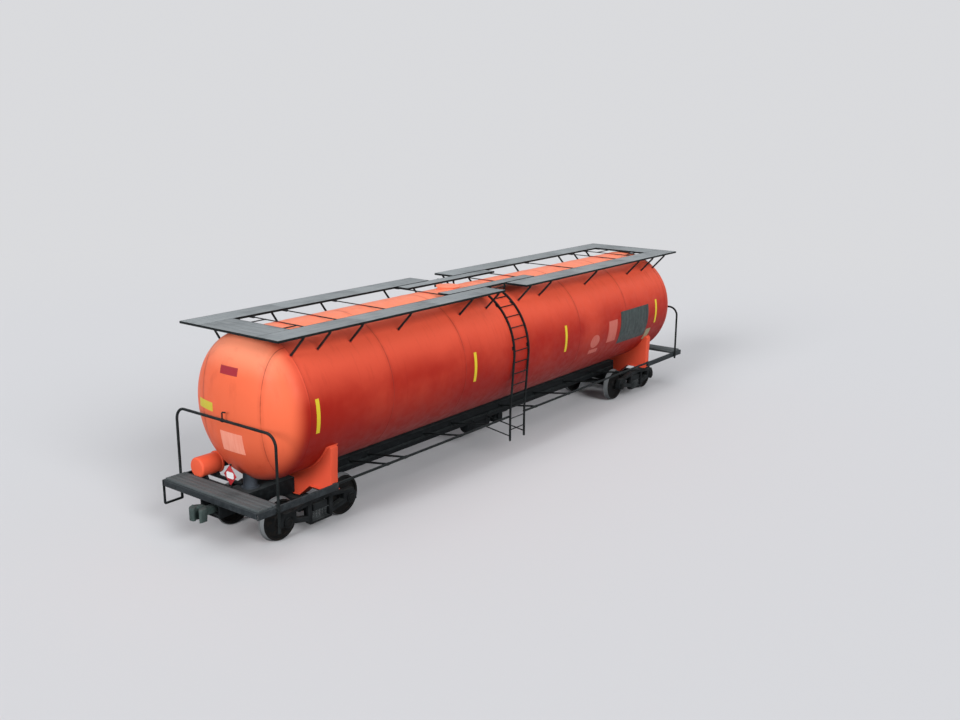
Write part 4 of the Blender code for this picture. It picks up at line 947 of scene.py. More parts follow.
@dataclass
class Tank:
    """The welded shell with its two dished heads, its stripes and its blank plates."""

    head_depth: float = 0.800
    fullness: float = 2.3
    bead: float = 0.0045
    bead_half: float = 0.014
    bead_section: tuple[Flat, ...] = ((-1.4, 0.0), (-1.0, 0.0), (-0.5, 0.8), (0.0, 1.0), (0.5, 0.8),
                                      (1.0, 0.0), (1.4, 0.0))
    segments: int = 160
    sump_radius: float = 0.150
    sump_flange: float = 0.042
    sump_x: float = 7.860
    well_radius: float = 0.240
    well_x: float = -1.250
    well_depth: float = 0.600
    stripe_x: tuple[float, ...] = (-7.35, -2.17, 1.84, 6.93)
    stripe_half: float = 0.050
    stripe_z: Flat = (2.42, 3.15)
    lift: float = 0.0015
    panel_lift: float = 0.0065

    def build(self) -> None:
        """Build the whole tank."""
        self.shell()
        for end in End:
            self.head(end)
        self.stripes()
        self.plates()

    def shell(self) -> None:
        """Spin the shell with its weld beads and cut the manway's well."""
        count = int(HALF_STRAIGHT // SEAM_PITCH)
        profile = [(-HALF_STRAIGHT, 0.0), (-HALF_STRAIGHT, TANK_RADIUS)]
        for i in range(-count, count + 1):
            x = SEAM_PITCH * i
            for share, rise in self.bead_section:
                profile.append((x + self.bead_half * share, TANK_RADIUS + self.bead * rise))
        profile += [(HALF_STRAIGHT, TANK_RADIUS), (HALF_STRAIGHT, 0.0)]
        body = Work().turned(profile, Axis.ALONG, (0, 0, TANK_AXIS_Z), self.segments)
        piece = body.keep("shell", TANK, replaces=("tank_shell",))
        top = TANK_AXIS_Z + TANK_RADIUS
        depth = (top - self.well_depth, top + 0.1)
        tool = Work().rod(Axis.UP, (self.well_x, 0, 0), depth, self.well_radius, 64).keep("well_cutter", TANK)
        step = piece.modifiers.new("well", "BOOLEAN")
        step.operation = "DIFFERENCE"
        step.solver = "EXACT"
        step.object = tool
        depsgraph = bpy.context.evaluated_depsgraph_get()
        mesh = bpy.data.meshes.new_from_object(piece.evaluated_get(depsgraph))
        piece.modifiers.clear()
        piece.data = mesh
        mesh.shade_smooth()
        mesh.set_sharp_from_angle(angle=math.radians(40))
        bpy.data.objects.remove(tool)

    def head_point(self, turn: float) -> Flat:
        """The head's depth and radius at a turn from its rim to its middle."""
        power = 2 / self.fullness
        return self.head_depth * math.sin(turn) ** power, TANK_RADIUS * math.cos(turn) ** power

    def head(self, end: End) -> None:
        """Spin a dished head and its sump.

        Args:
            end: The end it closes.
        """
        start = HALF_STRAIGHT + HAIR
        rim = [(end.value * (start + d), TANK_RADIUS + r) for d, r in
               ((0.0, -TANK_RADIUS), (0.0, 0.0), (0.004, self.bead), (0.014, self.bead), (0.024, 0.0))]
        steps = 44
        bowl = []
        for i in range(1, steps):
            depth, radius = self.head_point(math.pi / 2 * (i / steps) ** 1.25)
            if depth > 0.035:
                bowl.append((end.value * (start + depth), radius))
        bowl.append((end.value * (start + self.head_depth), 0.0))
        Work().turned(rim + bowl, Axis.ALONG, (0, 0, TANK_AXIS_Z), self.segments).keep(
            f"head_{end.letter}", TANK, replaces=(f"tank_head_{end.letter}",))
        x = end.value * self.sump_x
        foot = SILL_TOP + HAIR
        flange_top = foot + 0.018
        sump = Work().rod(Axis.UP, (x, 0, 0), (foot, TANK_AXIS_Z - 1.1), self.sump_radius, 40)
        sump.bolt_circle(Axis.UP, (x, 0, flange_top), self.sump_radius + 0.020, around(12), 1, 0.011, 0.012)
        radii = (0.02, self.sump_radius + self.sump_flange)
        sump.ring(Axis.UP, (x, 0, 0), (foot, flange_top), radii, 40)
        sump.keep(f"sump_{end.letter}", SUMP, replaces=(f"tank_head_{end.letter}",))

    @staticmethod
    def on_shell(side: Side, box: Box, lift: float) -> Callable[[float, float], Vector]:
        """Place a sheet on the shell's side.

        Args:
            side: The side it lies on.
            box: Its two ends along the car, then its lower and its upper edge.
            lift: How far its face stands off the shell.

        Returns:
            The point on the shell for a place on the sheet.
        """
        x0, x1, z0, z1 = box
        low, high = (math.asin((z - TANK_AXIS_Z) / TANK_RADIUS) for z in (z0, z1))
        outer = TANK_RADIUS + lift

        def put(u: float, w: float) -> Vector:
            """Find the shell's point at a place on the sheet.

            Args:
                u: The place along the sheet, from -1 to 1.
                w: The place up the sheet, from -1 to 1.

            Returns:
                The point.
            """
            turn = low + (high - low) * (w + 1) / 2
            y, z = side.value * outer * math.cos(turn), TANK_AXIS_Z + outer * math.sin(turn)
            return Vector((x0 + (x1 - x0) * (u + 1) / 2, y, z))

        return put

    def on_head(self, box: Box, lift: float) -> Callable[[float, float], Vector]:
        """Place a sheet on head a.

        Args:
            box: Its two edges across the car, then its lower and its upper edge.
            lift: How far its face stands off the head.

        Returns:
            The point on the head for a place on the sheet.
        """
        y0, y1, z0, z1 = box

        def put(u: float, w: float) -> Vector:
            """Find the head's point at a place on the sheet.

            Args:
                u: The place across the sheet, from -1 to 1.
                w: The place up the sheet, from -1 to 1.

            Returns:
                The point.
            """
            y, z = y0 + (y1 - y0) * (u + 1) / 2, z0 + (z1 - z0) * (w + 1) / 2
            reach = math.hypot(y, z - TANK_AXIS_Z) / TANK_RADIUS
            depth = self.head_depth * (1 - reach ** self.fullness) ** (1 / self.fullness)
            return Vector((-(HALF_STRAIGHT + depth + lift), y, z))

        return put

    def stripes(self) -> None:
        """Lay the reflective stripes on both sides."""
        for side in Side:
            for i, x in enumerate(self.stripe_x, start=1):
                box = (x - self.stripe_half, x + self.stripe_half, *self.stripe_z)
                put = self.on_shell(side, box, self.lift)
                stripe = Work().coat(put, Vector((0, side.value, 0)), 0.001)
                stripe.keep(f"stripe_{side.word}_{i}", STRIPE, recalculate=False)

    def plates(self) -> None:
        """Lay the blank panel and patches on the near side and the blank plates on head a."""
        out = Vector((0, -1, 0))
        for name, finish, box, lift in (
            ("data_panel", DATA_PANEL, (4.78, 6.44, 2.10, 3.08), self.panel_lift),
            ("patch_upper", PALE_PATCH, (4.10, 4.58, 2.26, 2.90), self.lift),
            ("patch_round", PALE_PATCH, (3.18, 3.65, 2.24, 2.62), self.lift),
            ("patch_foot", PALE_PATCH, (3.22, 3.68, 2.07, 2.19), self.lift),
            ("label_low", LABEL, (6.50, 6.79, 1.92, 2.27), self.lift),
        ):
            put = self.on_shell(Side.NEAR, box, lift)
            sheet = Work().coat(put, out, lift * 0.7, oval=name == "patch_round")
            sheet.keep(name, finish, recalculate=False)
        for name, finish, box in (
            ("plate_red", RED_PLATE, (-0.26, 0.27, 3.58, 3.75)),
            ("plate_yellow", YELLOW_PLATE, (0.51, 1.09, 2.72, 2.91)),
            ("patch_head", HEAD_PATCH, (-0.375, 0.305, 1.93, 2.37)),
        ):
            sheet = Work().coat(self.on_head(box, 0.002), Vector((-1, 0, 0)), 0.0012)
            sheet.keep(name, finish, recalculate=False)


@dataclass
class Manway:
    """The low manway on top: a bolted neck and its hinged lid."""

    x: float = -1.250
    radius: float = 0.290
    bore: float = 0.240
    top: float = 4.470
    root: float = 4.300
    lip: float = 0.025
    lid: float = 0.026
    bolts: int = 16
    hinge_half: float = 0.100
    hinge_radii: Flat = (0.009, 0.016)

    def build(self) -> None:
        """Build the neck, its hinge ears and the lid."""
        foot = (self.x, 0, 0)
        neck = [(self.root, self.radius - 0.012), (self.top - 0.022, self.radius - 0.012),
                (self.top - 0.018, self.radius), (self.top, self.radius), (self.top, self.bore),
                (self.root, self.bore)]
        collar = Work().turned(neck, Axis.UP, foot, 64, closed=True)
        collar.keep("manway_neck", FITTINGS, replaces=("manway",))
        rim, half = self.radius + self.lip, self.hinge_half
        pin = (self.x, rim + self.hinge_radii[1], self.top)
        ears = Work()
        for sign in (-1, 1):
            ears.block((self.x + sign * (half + 0.0005), self.bore + 0.05, self.top - 0.040),
                       (self.x + sign * (half + 0.0405), rim + 0.032, self.top + 0.016))
        ears.rod(Axis.ALONG, pin, (-half - 0.04, half + 0.04), 0.008, 16)
        ears.keep("manway_ears", RAILS, replaces=("manway",))
        under = self.top + HAIR
        cover = [(under, 0.0), (under, rim - 0.002), (under + 0.003, rim), (under + self.lid * 0.55, rim),
                 (under + self.lid * 0.7, rim - 0.010), (under + self.lid * 0.8, rim - 0.060),
                 (under + self.lid, 0.0)]
        lid = Work().turned(cover, Axis.UP, foot, 72)
        clear = [turn for turn in around(self.bolts, 0.5) if abs(turn - math.pi / 2) > 0.45]
        lid.bolt_circle(Axis.UP, (self.x, 0, under + self.lid * 0.76), rim - 0.035, clear, 1, 0.011, 0.005)
        lid.ring(Axis.ALONG, pin, (-half, half), self.hinge_radii, 20)
        low, high = (self.x - half, self.radius / 2, under + 0.004), (self.x + half, rim, self.top + 0.016)
        lid.block(low, high, 0.003)
        lid.keep("manway_cover", FITTINGS, "lid", replaces=("manway_lid",))


@dataclass
class Cradle:
    """A saddle: web plate, bottom flanges, pad and stiffening ribs."""

    end: End

    def build(self) -> None:
        """Round the saddle's edges."""
        Work().node(f"saddle_{self.end.letter}", 0.005, 2).keep(
            f"cradle_{self.end.letter}", FITTINGS, replaces=(f"saddle_{self.end.letter}",), sharp=30)


@dataclass
class Underframe:
    """The centre sill and everything fixed along and beneath it."""

    sill_bottom: float = 0.735
    rail_y: float = 1.510
    rail_z: float = 1.150
    rail_radius: float = 0.030
    stay_radius: float = 0.024
    stay_z: float = 0.960
    stays: tuple[float, ...] = (-5.220, -4.620, -2.615, -1.510, 0.590, 2.200, 3.790, 5.220)
    rail_ends: tuple[float, ...] = (-6.7697, -0.6428, 0.0228, 6.7697)
    reservoir_x: Flat = (-0.640, 0.400)
    reservoir_z: float = 0.560
    reservoir_radius: float = 0.165
    reservoir_dome: float = 0.080
    strap_in: float = 0.240
    strap_half: float = 0.030
    valve_place: Point = (0.77, 0.140, 0.575)
    pipe_half: float = 6.600
    pipe_radius: float = 0.028
    union_pitch: float = 1.550

    def build(self) -> None:
        """Build the sill, the side rails and the brake gear."""
        self.sill()
        for side in Side:
            self.rails(side)
        self.reservoir()
        self.valve()
        self.train_pipe()

    def sill(self) -> None:
        """Round the sill's edges."""
        Work().node("center_sill", 0.005, 2).keep("sill", BLACK, replaces=("center_sill",), sharp=30)

    def rails(self, side: Side) -> None:
        """Run the two pipes of one side on their stays.

        Args:
            side: The side.
        """
        y = side.value * self.rail_y
        for letter, start, stop in (("a", *self.rail_ends[:2]), ("b", *self.rail_ends[2:])):
            work = Work().pipe([(start, y, self.rail_z), (stop, y, self.rail_z)], self.rail_radius, 20)
            for x in (s for s in self.stays if start < s < stop):
                inner = side.value * (SILL_HALF + HAIR)
                outer = inner + side.value * 0.010
                work.pipe([(x, y, self.rail_z), (x, inner, self.stay_z)], self.stay_radius, 16)
                low, high = (x - 0.045, inner, self.stay_z - 0.055), (x + 0.045, outer, self.stay_z + 0.055)
                work.block(low, high, 0.003)
                for dz in (-0.04, 0.04):
                    for dx in (-0.03, 0.03):
                        work.bolt((x + dx, outer, self.stay_z + dz), Vector((0, side.value, 0)), 0.008, 0.008)
                work.rod(Axis.ALONG, (x, y, self.rail_z), (-0.035, 0.035), self.rail_radius + 0.007)
            work.keep(f"rail_{side.word}_{letter}", RAILS, replaces=(f"side_rail_{side.word}_{letter}",))

    def reservoir(self) -> None:
        """Spin the air reservoir between its straps."""
        (x0, x1), r = self.reservoir_x, self.reservoir_radius
        centre = (0, 0, self.reservoir_z)
        half = []
        for i in range(11):
            turn = math.pi / 2 * i / 10
            half.append((x0 + self.reservoir_dome * (1 - math.cos(turn)), r * math.sin(turn) ** 0.75))
        half += [(x0 + 0.12, r), (x0 + 0.123, r + 0.003), (x0 + 0.135, r + 0.003), (x0 + 0.138, r)]
        profile = half + [(x0 + x1 - x, radius) for x, radius in reversed(half)]
        work = Work().turned(profile, Axis.ALONG, centre, 56)
        under = self.sill_bottom - 0.030 - HAIR
        for x in (x0 + self.strap_in, x1 - self.strap_in):
            start, stop = x - self.strap_half, x + self.strap_half
            work.ring(Axis.ALONG, centre, (start, stop), (r + 0.001, r + 0.006), 56)
            for sign in (-1, 1):
                foot = (start, sign * (r - 0.004), self.reservoir_z)
                work.block(foot, (stop, sign * (r + 0.004), under), 0.002)
                work.bolt((x, sign * 0.24, under), Vector((0, 0, -1)), 0.012, 0.012)
            work.block((start, -SILL_HALF, under), (stop, SILL_HALF, under + 0.030))
        work.rod(Axis.ALONG, centre, (x0 - 0.02, x0 + 0.02), 0.022, 6)
        work.keep("air_tank", BLACK, replaces=("air_reservoir",))

    def valve(self) -> None:
        """Round the control valve and add its covers."""
        x, half, z = self.valve_place
        work = Work().node("control_valve", 0.008, 3, 50.0)
        cover = [(0.0, 0.0), (0.0, 0.085), (0.030, 0.085), (0.040, 0.070), (0.040, 0.0)]
        for sign in (-1, 1):
            foot = (x, sign * half - (cover[-1][0] if sign < 0 else 0.0), z)
            work.turned(cover, Axis.ACROSS, foot, 32)
            work.bolt_circle(Axis.ACROSS, (x, sign * 0.178, z), 0.072, around(6), sign, 0.009)
        work.keep("brake_valve", BLACK, replaces=("control_valve",), sharp=30)

    def train_pipe(self) -> None:
        """Run the train pipe with its unions."""
        y, z = -(SILL_HALF + self.pipe_radius + HAIR), 0.880
        work = Work().pipe([(-self.pipe_half, y, z), (self.pipe_half, y, z)], self.pipe_radius, 20)
        for i in range(-4, 5):
            x = i * self.union_pitch
            work.rod(Axis.ALONG, (0, y, z), (x - 0.03, x + 0.03), self.pipe_radius + 0.008, 8)
        work.keep("brake_pipe", RAILS, replaces=("train_pipe",))


@dataclass
class EndPlatform:
    """The plank deck, its end sill and side boards, the handrail and the end's fittings."""

    end: End
    front: float = 8.957
    back: float = 8.410
    half: float = 1.490
    deck_low: float = 1.160 + HAIR
    deck_top: float = 1.205 + HAIR
    boards: int = 4
    bolts_y: tuple[float, ...] = (-1.40, -0.70, 0.0, 0.70, 1.40)
    rail_x: float = 8.460
    rail_y: float = 1.570 + HAIR
    rail_top: float = 2.655
    rail_radius: float = 0.030
    feet: Flat = (0.605, 0.980)
    bend: float = 0.270
    step_out: float = 0.440
    step_top: float = 1.120
    hook_y: float = 0.040
    clamps_z: Flat = (1.055, 1.130)

    def build(self) -> None:
        """Build the platform of this end."""
        e, s = self.end.letter, self.end.value
        work = Work()
        pitch = (self.front - 0.05 - self.back) / self.boards
        for i in range(self.boards):
            x0 = self.back + pitch * i
            top = self.deck_top - (0.0 if i else 0.004)
            low, high = (x0 + 0.004, -self.half, self.deck_low), (x0 + pitch - 0.004, self.half, top)
            work.block((s * low[0], *low[1:]), (s * high[0], *high[1:]), 0.006)
            for y in self.bolts_y:
                work.bolt((s * (x0 + pitch / 2), y, self.deck_top - 0.004), Vector((0, 0, 1)), 0.012, 0.006)
        work.keep(f"deck_{e}", DECK, replaces=(f"platform_deck_{e}",))
        sill = Work().node(f"end_sill_{e}", 0.005, 2)
        for i in range(-5, 6):
            if abs(i) > 1:
                sill.bolt((s * self.front, i * 0.27, 1.098), Vector((s, 0, 0)), 0.013, 0.008)
        sill.keep(f"headstock_{e}", HEADSTOCK, replaces=(f"end_sill_{e}",), sharp=30)
        for side in Side:
            Work().node(f"side_board_{side.word}_{e}", 0.003, 2).keep(
                f"side_channel_{side.word}_{e}", BOARDS, replaces=(f"side_board_{side.word}_{e}",), sharp=30)
        self.handrail()

    def handrail(self) -> None:
        """Bend the handrail across the end, with its clamps."""
        s = self.end.value
        x, y, top = s * self.rail_x, self.rail_y, self.rail_top
        foot = self.feet[0] if self.end is End.A else self.feet[1]
        path = [(x, -y, foot), (x, -y, top), (x, y, top), (x, y, foot)]
        work = Work().pipe(rounded(path, self.bend, 14), self.rail_radius, 20)
        if self.end is End.A:
            outer = x - self.step_out
            step = [(x, y, foot + 0.01), (x, y, foot), (outer, y, foot), (outer, y, self.step_top)]
            work.pipe(rounded(step, 0.03, 5), self.rail_radius * 0.9, 16)
            base = (x, self.hook_y, top)
            hook = [base, (x, self.hook_y, top + 0.170), (x, self.hook_y - 0.105, top + 0.184)]
            work.pipe(rounded(hook, 0.025, 6), 0.016, 14)
            clamp = [(-0.03, 0.0), (-0.03, 0.036), (-0.02, 0.041), (0.02, 0.041), (0.03, 0.036), (0.03, 0.0)]
            work.turned(clamp, Axis.ACROSS, base, 20)
        for sign in (-1, 1):
            board = sign * (y - 0.030)
            for z in self.clamps_z:
                work.ring(Axis.UP, (x, sign * y, 0), (z - 0.012, z + 0.012), (0.028, 0.038), 20)
                low, high = (x - 0.060, board, z - 0.016), (x + 0.060, board + sign * 0.010, z + 0.016)
                work.block(low, high, 0.002)
        work.keep(f"end_rail_{self.end.letter}", RAILS, replaces=(f"handrail_{self.end.letter}",))


@dataclass
class BrakeGear:
    """The brake cylinder on its bearers and the blank placard on its post, at end a."""

    start: float = -8.380
    stop: float = -7.820
    y: float = 1.115
    z: float = 1.360
    radius: float = 0.225
    rim: float = 0.018
    edge: float = 0.045
    bearers_x: Flat = (-8.240, -7.940)
    bearers_y: Flat = (0.150, 1.5277)
    placard: Point = (-8.370, 0.0, 1.450)
    half_width: float = 0.200
    half_height: float = 0.225
    middle: Point = (0.112, 0.072, 0.026)
    post_top: float = 1.690

    def build(self) -> None:
        """Build the cylinder, its bearers and the placard."""
        edge, outer = self.edge, self.radius + self.rim
        body = [(self.start, 0.0)]
        for i in range(9):
            turn = math.pi / 2 * i / 8
            body.append((self.start + edge * (1 - math.cos(turn)), self.radius - edge * (1 - math.sin(turn))))
        for back, radius in ((0.042, self.radius), (0.040, outer - 0.003), (0.037, outer), (0.003, outer),
                             (0.0, outer - 0.003), (0.0, 0.0)):
            body.append((self.stop - back, radius))
        drum = Work().turned(body, Axis.ALONG, (0, self.y, self.z), 72)
        drum.bolt_circle(Axis.ALONG, (self.stop - 0.040, self.y, self.z), outer - 0.010, around(10), -1)
        drum.keep("brake_drum", FITTINGS, replaces=("brake_cylinder",))
        feet = Work()
        top = self.z - outer - HAIR
        inner, reach = self.bearers_y
        for x in self.bearers_x:
            foot = [(self.y - 0.112, self.z - 0.112), (self.y + 0.112, self.z - 0.112),
                    (self.y + self.radius, top - 0.03), (self.y - self.radius, top - 0.03)]
            feet.slab(foot, Axis.ALONG, x - 0.03, x + 0.03)
            feet.block((x - 0.03, inner, SILL_TOP + HAIR), (x + 0.03, reach, top), 0.005)
            for dy in (-0.19, 0.19):
                feet.bolt((x, self.y + dy, top), Vector((0, 0, 1)), 0.012, 0.012)
        feet.keep("brake_bearers", BLACK, replaces=("brake_cylinder",))
        self.sign()

    def sign(self) -> None:
        """Build the blank placard: a red diamond with a white middle on a black post."""
        x, y, z = self.placard
        post_x, foot, top = x + 0.020, SILL_TOP + HAIR, self.post_top
        post = Work().pipe([(post_x, y, foot), (post_x, y, top - 0.005)], 0.016, 16)
        knob = [(top - 0.040, 0.0), (top - 0.038, 0.020), (top - 0.010, 0.026), (top, 0.018), (top, 0.0)]
        post.turned(knob, Axis.UP, (post_x, y, 0), 20)
        post.block((post_x - 0.05, y - 0.06, foot), (post_x + 0.05, y + 0.06, foot + 0.0117), 0.003)
        post.keep("placard_post", BLACK, replaces=("placard_stand",))
        wide, high, cut = self.middle
        diamond = [(y + self.half_width * u, z + self.half_height * v)
                   for u, v in ((1, 0), (0, 1), (-1, 0), (0, -1))]
        blank = []
        for a, b in ((1, 1), (-1, 1), (-1, -1), (1, -1)):
            corner = [(y + a * wide, z + b * (high - cut)), (y + a * (wide - cut), z + b * high)]
            blank += corner if a == b else corner[::-1]
        for name, outline, thick, bevel, finish in (("red", diamond, 0.004, 0.0015, SIGN_RED),
                                                    ("white", blank, 0.0055, 0.0, SIGN_WHITE)):
            plate = Work().slab(outline, Axis.ALONG, x - thick, x + thick, bevel)
            plate.keep(f"placard_{name}", finish, replaces=("placard_stand",))


@dataclass
class Ladder:
    """A side ladder whose rails follow the tank up to the walkway."""

    side: Side
    rails_x: Flat = (-0.620, 0.000)
    width: float = 0.045
    depth: float = 0.040
    standoff: float = 0.008
    foot: Flat = (1.520, 0.495)
    knee_z: float = 1.300
    contact: float = math.radians(96)
    leave: float = math.radians(30)
    edge_y: float = 0.840 + HAIR
    pitch: float = 0.300
    rung_radius: float = 0.014
    brace_radius: float = 0.016
    brace_z: float = 0.800
    pads: Flat = (math.radians(84), math.radians(42))

    def line(self, offset: float, steps: int = 44) -> list[Flat]:
        """Draw a rail's line from the foot up.

        Args:
            offset: How far outwards of the rail's inner face it runs.
            steps: Its points round the tank.

        Returns:
            The (y, z) points.
        """
        radius = TANK_RADIUS + self.standoff + offset
        foot, edge = self.foot[0] + offset, self.edge_y + offset
        points = [(foot, self.foot[1]), (foot, self.knee_z)]
        for i in range(steps + 1):
            angle = self.contact + (self.leave - self.contact) * i / steps
            points.append((radius * math.sin(angle), TANK_AXIS_Z + radius * math.cos(angle)))
        return points + [(edge, WALK_UNDER - self.depth), (edge, WALK_TOP)]

    def build(self) -> None:
        """Build the rails, rungs, pads and struts."""
        s = self.side.value
        inner, middle, outer = (self.line(self.depth * share) for share in (0.0, 0.5, 1.0))
        outline = [(s * u, v) for u, v in inner + outer[::-1]]
        work = Work()
        for x in self.rails_x:
            work.slab(outline, Axis.ALONG, x - self.width / 2, x + self.width / 2, 0.0)
        self.rungs(work, middle)
        sill, z, low, half = s * (SILL_HALF + HAIR), self.brace_z, TANK_RADIUS + HAIR, self.width / 2
        for x in self.rails_x:
            work.pipe([(x, s * middle[0][0], self.foot[1] + 0.13), (x, sill, z)], self.brace_radius, 14)
            work.block((x - 0.04, sill, z - 0.04), (x + 0.04, sill + s * 0.01, z + 0.04), 0.002)
            for angle in self.pads:
                turn = Matrix.Translation((0, 0, TANK_AXIS_Z)) @ Matrix.Rotation(-s * angle, 4, "X")
                work.block((x - half, -half, low), (x + half, half, TANK_RADIUS + 0.030), 0.003, 2, turn)
                work.block((x - 0.060, -0.050, low), (x + 0.060, 0.050, low + 0.006), 0.002, 2, turn)
        work.keep(f"steps_{self.side.word}", RAILS, replaces=(f"ladder_{self.side.word}",), sharp=30)

    def rungs(self, work: Work, middle: list[Flat]) -> None:
        """Space the rungs evenly along the rails.

        Args:
            work: The ladder so far.
            middle: The rails' middle line, as (y, z) points.
        """
        collar = [(-0.031, 0.0), (-0.031, 0.017), (-0.026, 0.019)]
        collar += [(-x, radius) for x, radius in reversed(collar)]
        left = self.pitch
        for (u0, v0), (u1, v1) in zip(middle, middle[1:]):
            length = math.hypot(u1 - u0, v1 - v0)
            while left < length:
                share = left / length
                y, z = self.side.value * (u0 + (u1 - u0) * share), v0 + (v1 - v0) * share
                work.pipe([(x, y, z) for x in self.rails_x], self.rung_radius, 14)
                for x in self.rails_x:
                    work.turned(collar, Axis.ALONG, (x, y, z), 14)
                left += self.pitch
            left -= length


@dataclass
class Walkway:
    """The plank walkways on top, their black edge strips and the frames under them."""

    half_length: float = 8.256
    outer: float = 1.531
    inner: float = 0.893
    end_inner: float = 7.380
    near_stop: float = -0.885
    far_stop: float = -0.976
    restart: float = 0.034
    middle_x: Flat = (-2.240, 1.360)
    middle_y: Flat = (0.500, 0.840)
    strip: float = 0.004
    joint: float = 0.003
    board_length: float = 2.45

    def build(self) -> None:
        """Build every plank run, then the frames."""
        for side in Side:
            s = side.value
            stop = self.near_stop if side is Side.NEAR else self.far_stop
            for letter, x0, x1 in (("a", -self.half_length, stop), ("b", self.restart, self.half_length)):
                low, high = (x0, s * self.inner), (x1, s * self.outer)
                self.run(f"walkway_{side.word}_{letter}", low, high, 4, Axis.ALONG)
                self.edging(f"walkway_{side.word}_{letter}", low, high)
            low, high = ((x, s * y) for x, y in zip(self.middle_x, self.middle_y))
            self.run(f"walkway_middle_{side.word}", low, high, 2, Axis.ALONG)
            self.edging(f"walkway_middle_{side.word}", low, high)
        for end in End:
            y = self.inner - HAIR
            low, high = (end.value * self.end_inner, -y), (end.value * self.half_length, y)
            self.run(f"walkway_end_{end.letter}", low, high, 4, Axis.ACROSS)
            self.edging(f"walkway_end_{end.letter}", low, high, long_edges=False)
            self.frame(f"walkway_frame_end_{end.letter}")
        for i in range(1, 8):
            self.frame(f"walkway_frame_{i}")
        for side in Side:
            self.frame(f"walkway_bracket_{side.word}")

    def run(self, node: str, low: Flat, high: Flat, boards: int, grain: Axis) -> None:
        """Lay one run of boards with open joints between them.

        Args:
            node: The node that the run stands for.
            low: One corner, as an (x, y) point.
            high: The opposite corner.
            boards: How many boards lie side by side.
            grain: The way they run.
        """
        work = Work()
        (x0, x1), (y0, y1) = sorted((low[0], high[0])), sorted((low[1], high[1]))
        along = grain is Axis.ALONG
        rows = boards if along else 1
        count = max(1, round((x1 - x0) / self.board_length)) if along else boards
        step, pitch = (x1 - x0) / count, (y1 - y0) / rows
        dx, dy = (self.joint / 2, self.joint) if along else (self.joint, 0.0)
        for i in range(rows):
            for k in range(count):
                foot = (x0 + step * k + dx, y0 + pitch * i + dy, WALK_UNDER)
                work.block(foot, (x0 + step * (k + 1) - dx, y0 + pitch * (i + 1) - dy, WALK_TOP))
        work.keep(node + "_boards", WALK if along else WALK_ENDS, replaces=(node,))

    def edging(self, node: str, low: Flat, high: Flat, long_edges: bool = True) -> None:
        """Fix thin black strips along the edges of a run.

        Args:
            node: The node that the run stands for.
            low: One corner, as an (x, y) point.
            high: The opposite corner.
            long_edges: Whether the edges that run along the car have strips too.
        """
        work = Work()
        t = self.strip
        (x0, y0), (x1, y1) = low, high
        lines = [((x0, y0), (x0, y1)), ((x1, y0), (x1, y1))]
        if long_edges:
            lines += [((x0, y0), (x1, y0)), ((x0, y1), (x1, y1))]
        for (xa, ya), (xb, yb) in lines:
            foot = (min(xa, xb) - t, min(ya, yb) - t, WALK_UNDER - 0.004)
            work.block(foot, (max(xa, xb) + t, max(ya, yb) + t, WALK_TOP + 0.0005), 0.0015, 1)
        work.keep(node + "_edge", RAILS, replaces=(node,))

    def frame(self, node: str) -> None:
        """Round a frame's bars."""
        Work().node(node, 0.0035, 2, 35.0).keep(node + "_bars", BRACES, replaces=(node,), sharp=35)


